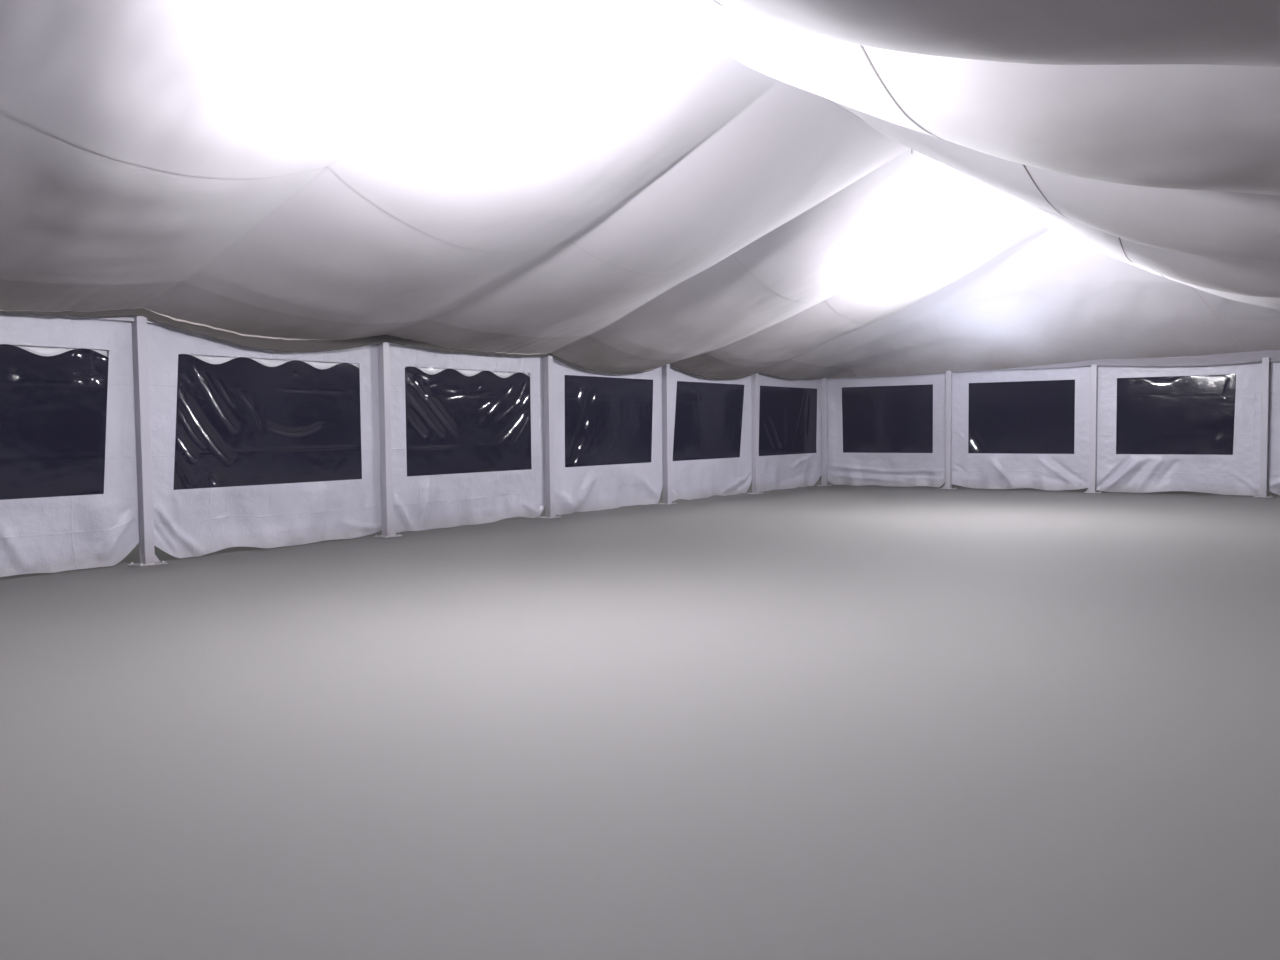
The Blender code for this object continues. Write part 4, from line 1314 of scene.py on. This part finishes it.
class MARQUEE_OT_valances(bpy.types.Operator):
    """Hangs the scalloped valance from the roof's edge on all four sides"""

    bl_idname = "marquee.valances"
    bl_label = "Valances"

    def execute(self, context):
        sizes = context.scene.marquee_sizes
        cover = materials(context)["roof"]
        side, end = ROOF_X - 0.003, ROOF_Y - 0.003
        runs = (
            ("left", 2 * ROOF_Y - 0.013, BAY, 0.5, (-side, 0, 0), math.pi / 2, 1201, 1.4),
            ("right", 2 * ROOF_Y - 0.013, BAY, 0.5, (side, 0, 0), -math.pi / 2, 1201, PAST_SIDE),
            ("near", 2 * ROOF_X - 0.002, END_BAY, 0.0, (0, -end, 0), math.pi, 601, PAST_SIDE),
            ("far", 2 * ROOF_X - 0.002, END_BAY, 0.0, (0, end, 0), 0.0, 601, -PAST_SIDE),
        )
        tree, ids = valance_tree()
        top = VALANCE_TOP + 0.008
        for i, (name, length, bay, phase, place, turn, columns, rise_from) in enumerate(runs):
            values = {
                "Length": length,
                "Bay": bay,
                "Phase": phase,
                "Scallops": 4.5,
                "Depth": sizes.scallop,
                "Edge": VALANCE_DEEPEST + 0.03,
                "Rise": sizes.rise * (1.6 if name == "far" else 1.0),
                "Rise From": rise_from,
                "Top": top,
                "Flutter": sizes.flutter,
                "Lean": sizes.lean * (0.35 if bay == END_BAY else 1.0),
                "Seed": 3.7 * i,
                "Columns": columns,
                "Place": place,
                "Turn": (0.0, 0.0, turn),
                "Material": cover,
            }
            piece = grown("valance_cloth_" + name, bpy.data.meshes.new("valance"), tree, ids, values)
            self.add_cut(piece, 0 if bay == END_BAY else 1)
            thicken(piece, ROOF_CLOTH)
            finish_piece(piece, ["valance_" + name])
        return {"FINISHED"}

    def add_cut(self, piece, axis):
        """The flat cloth's coordinates, from each point's place along the side and its height."""
        mesh = piece.data
        layer = mesh.uv_layers.new(name="Cut")
        points = np.zeros(len(mesh.vertices) * 3, np.float32)
        mesh.vertices.foreach_get("co", points)
        corners = np.zeros(len(mesh.loops), np.int32)
        mesh.loops.foreach_get("vertex_index", corners)
        layer.data.foreach_set("uv", points.reshape(-1, 3)[corners][:, [axis, 2]].ravel())


class MARQUEE_OT_studio(bpy.types.Operator):
    """Sets the floor, the lights, the camera and the lens's haze"""

    bl_idname = "marquee.studio"
    bl_label = "Studio"

    def execute(self, context):
        scene = context.scene
        paint = plain_floor("studio floor paint", scene.marquee_colours.floor)
        new_object("studio_floor", built_mesh("studio_floor", self.disc), paint)
        scene.world = bpy.data.worlds.new("studio")
        scene.world.use_nodes = True
        scene.world.node_tree.nodes["Background"].inputs["Color"].default_value = linear("#15151F")
        scene.view_settings.view_transform = "Standard"
        for name, place, power in LAMPS:
            lamp = self.light(name, "POINT", power, LAMP_COLOUR, place, (0, 0, -1))
            lamp.data.shadow_soft_size = LAMP_RADIUS
        for name, place, power, target, size, spread, colour in SOFTBOXES:
            box = self.light(name, "AREA", power, colour, place, Vector(target) - Vector(place))
            box.data.size = size
            box.data.spread = math.radians(spread)
            box.visible_glossy = colour == WHITE
        self.camera(scene)
        self.haze(scene)
        return {"FINISHED"}

    @staticmethod
    def disc(shape):
        bmesh.ops.create_circle(shape, cap_ends=True, segments=96, radius=FLOOR_RADIUS)

    def light(self, name, kind, power, colour, place, direction):
        data = bpy.data.lights.new(name, kind)
        data.energy = power
        data.color = colour
        obj = new_object(name, data)
        obj.location = place
        obj.rotation_mode = "QUATERNION"
        obj.rotation_quaternion = Vector(direction).to_track_quat("-Z", "Y")
        obj.visible_camera = False
        return obj

    def camera(self, scene):
        """The photograph's camera."""
        data = bpy.data.cameras.new("photograph")
        data.lens = LENS
        data.sensor_width = 36.0
        data.sensor_fit = "HORIZONTAL"
        scene.camera = new_object("photograph", data)
        yaw, pitch, roll = (math.radians(angle) for angle in (YAW, PITCH, ROLL))
        forward = Vector((math.sin(yaw) * math.cos(pitch), math.cos(yaw) * math.cos(pitch), math.sin(pitch)))
        level = Vector((math.cos(yaw), -math.sin(yaw), 0))
        upright = level.cross(forward)
        right = math.cos(roll) * level + math.sin(roll) * upright
        up = math.cos(roll) * upright - math.sin(roll) * level
        turn = Matrix((right, up, -forward)).transposed().to_4x4()
        scene.camera.matrix_world = Matrix.Translation(EYE) @ turn

    def haze(self, scene):
        """Spreads a little of the brightest light over its surroundings, as a lens does with bare lamps."""
        scene.use_nodes = True
        tree = scene.node_tree
        tree.nodes.clear()
        glow = {
            "Image": add(tree, "CompositorNodeRLayers")["Image"],
            "Threshold": 1.0,
            "Clamp": True,
            "Maximum": 4.0,
            "Strength": 0.22,
            "Size": 0.7,
            "Tint": (0.88, 0.90, 1.0, 1.0),
        }
        seen = add(tree, "CompositorNodeGlare", glow, glare_type="BLOOM")["Image"]
        add(tree, "CompositorNodeComposite", {"Image": seen})


OPERATORS = (
    MARQUEE_OT_studio,
    MARQUEE_OT_steelwork,
    MARQUEE_OT_fittings,
    MARQUEE_OT_lining,
    MARQUEE_OT_walls,
    MARQUEE_OT_windows,
    MARQUEE_OT_roof,
    MARQUEE_OT_valances,
)


class MARQUEE_PT_panel(bpy.types.Panel):
    """Lists the tent's sizes, its colours and the steps that build it"""

    bl_idname = "MARQUEE_PT_panel"
    bl_label = "Marquee tent"
    bl_space_type = "VIEW_3D"
    bl_region_type = "UI"
    bl_category = "Marquee"

    def draw(self, context):
        for group in (context.scene.marquee_sizes, context.scene.marquee_colours):
            column = self.layout.column(align=True)
            for name in group.__annotations__:
                column.prop(group, name)
        for operator in OPERATORS:
            self.layout.operator(operator.bl_idname)


CLASSES = (MarqueeSizes, MarqueeColours, *OPERATORS, MARQUEE_PT_panel)


def register():
    for one in CLASSES:
        bpy.utils.register_class(one)
    bpy.types.Scene.marquee_sizes = bpy.props.PointerProperty(type=MarqueeSizes)
    bpy.types.Scene.marquee_colours = bpy.props.PointerProperty(type=MarqueeColours)


def unregister():
    del bpy.types.Scene.marquee_colours
    del bpy.types.Scene.marquee_sizes
    for one in reversed(CLASSES):
        bpy.utils.unregister_class(one)


def main():
    register()
    bpy.ops.marquee.studio()
    bpy.ops.marquee.steelwork()
    bpy.ops.marquee.fittings()
    bpy.ops.marquee.lining()
    bpy.ops.marquee.walls()
    bpy.ops.marquee.windows()
    bpy.ops.marquee.roof()
    bpy.ops.marquee.valances()


if __name__ == "__main__":
    main()
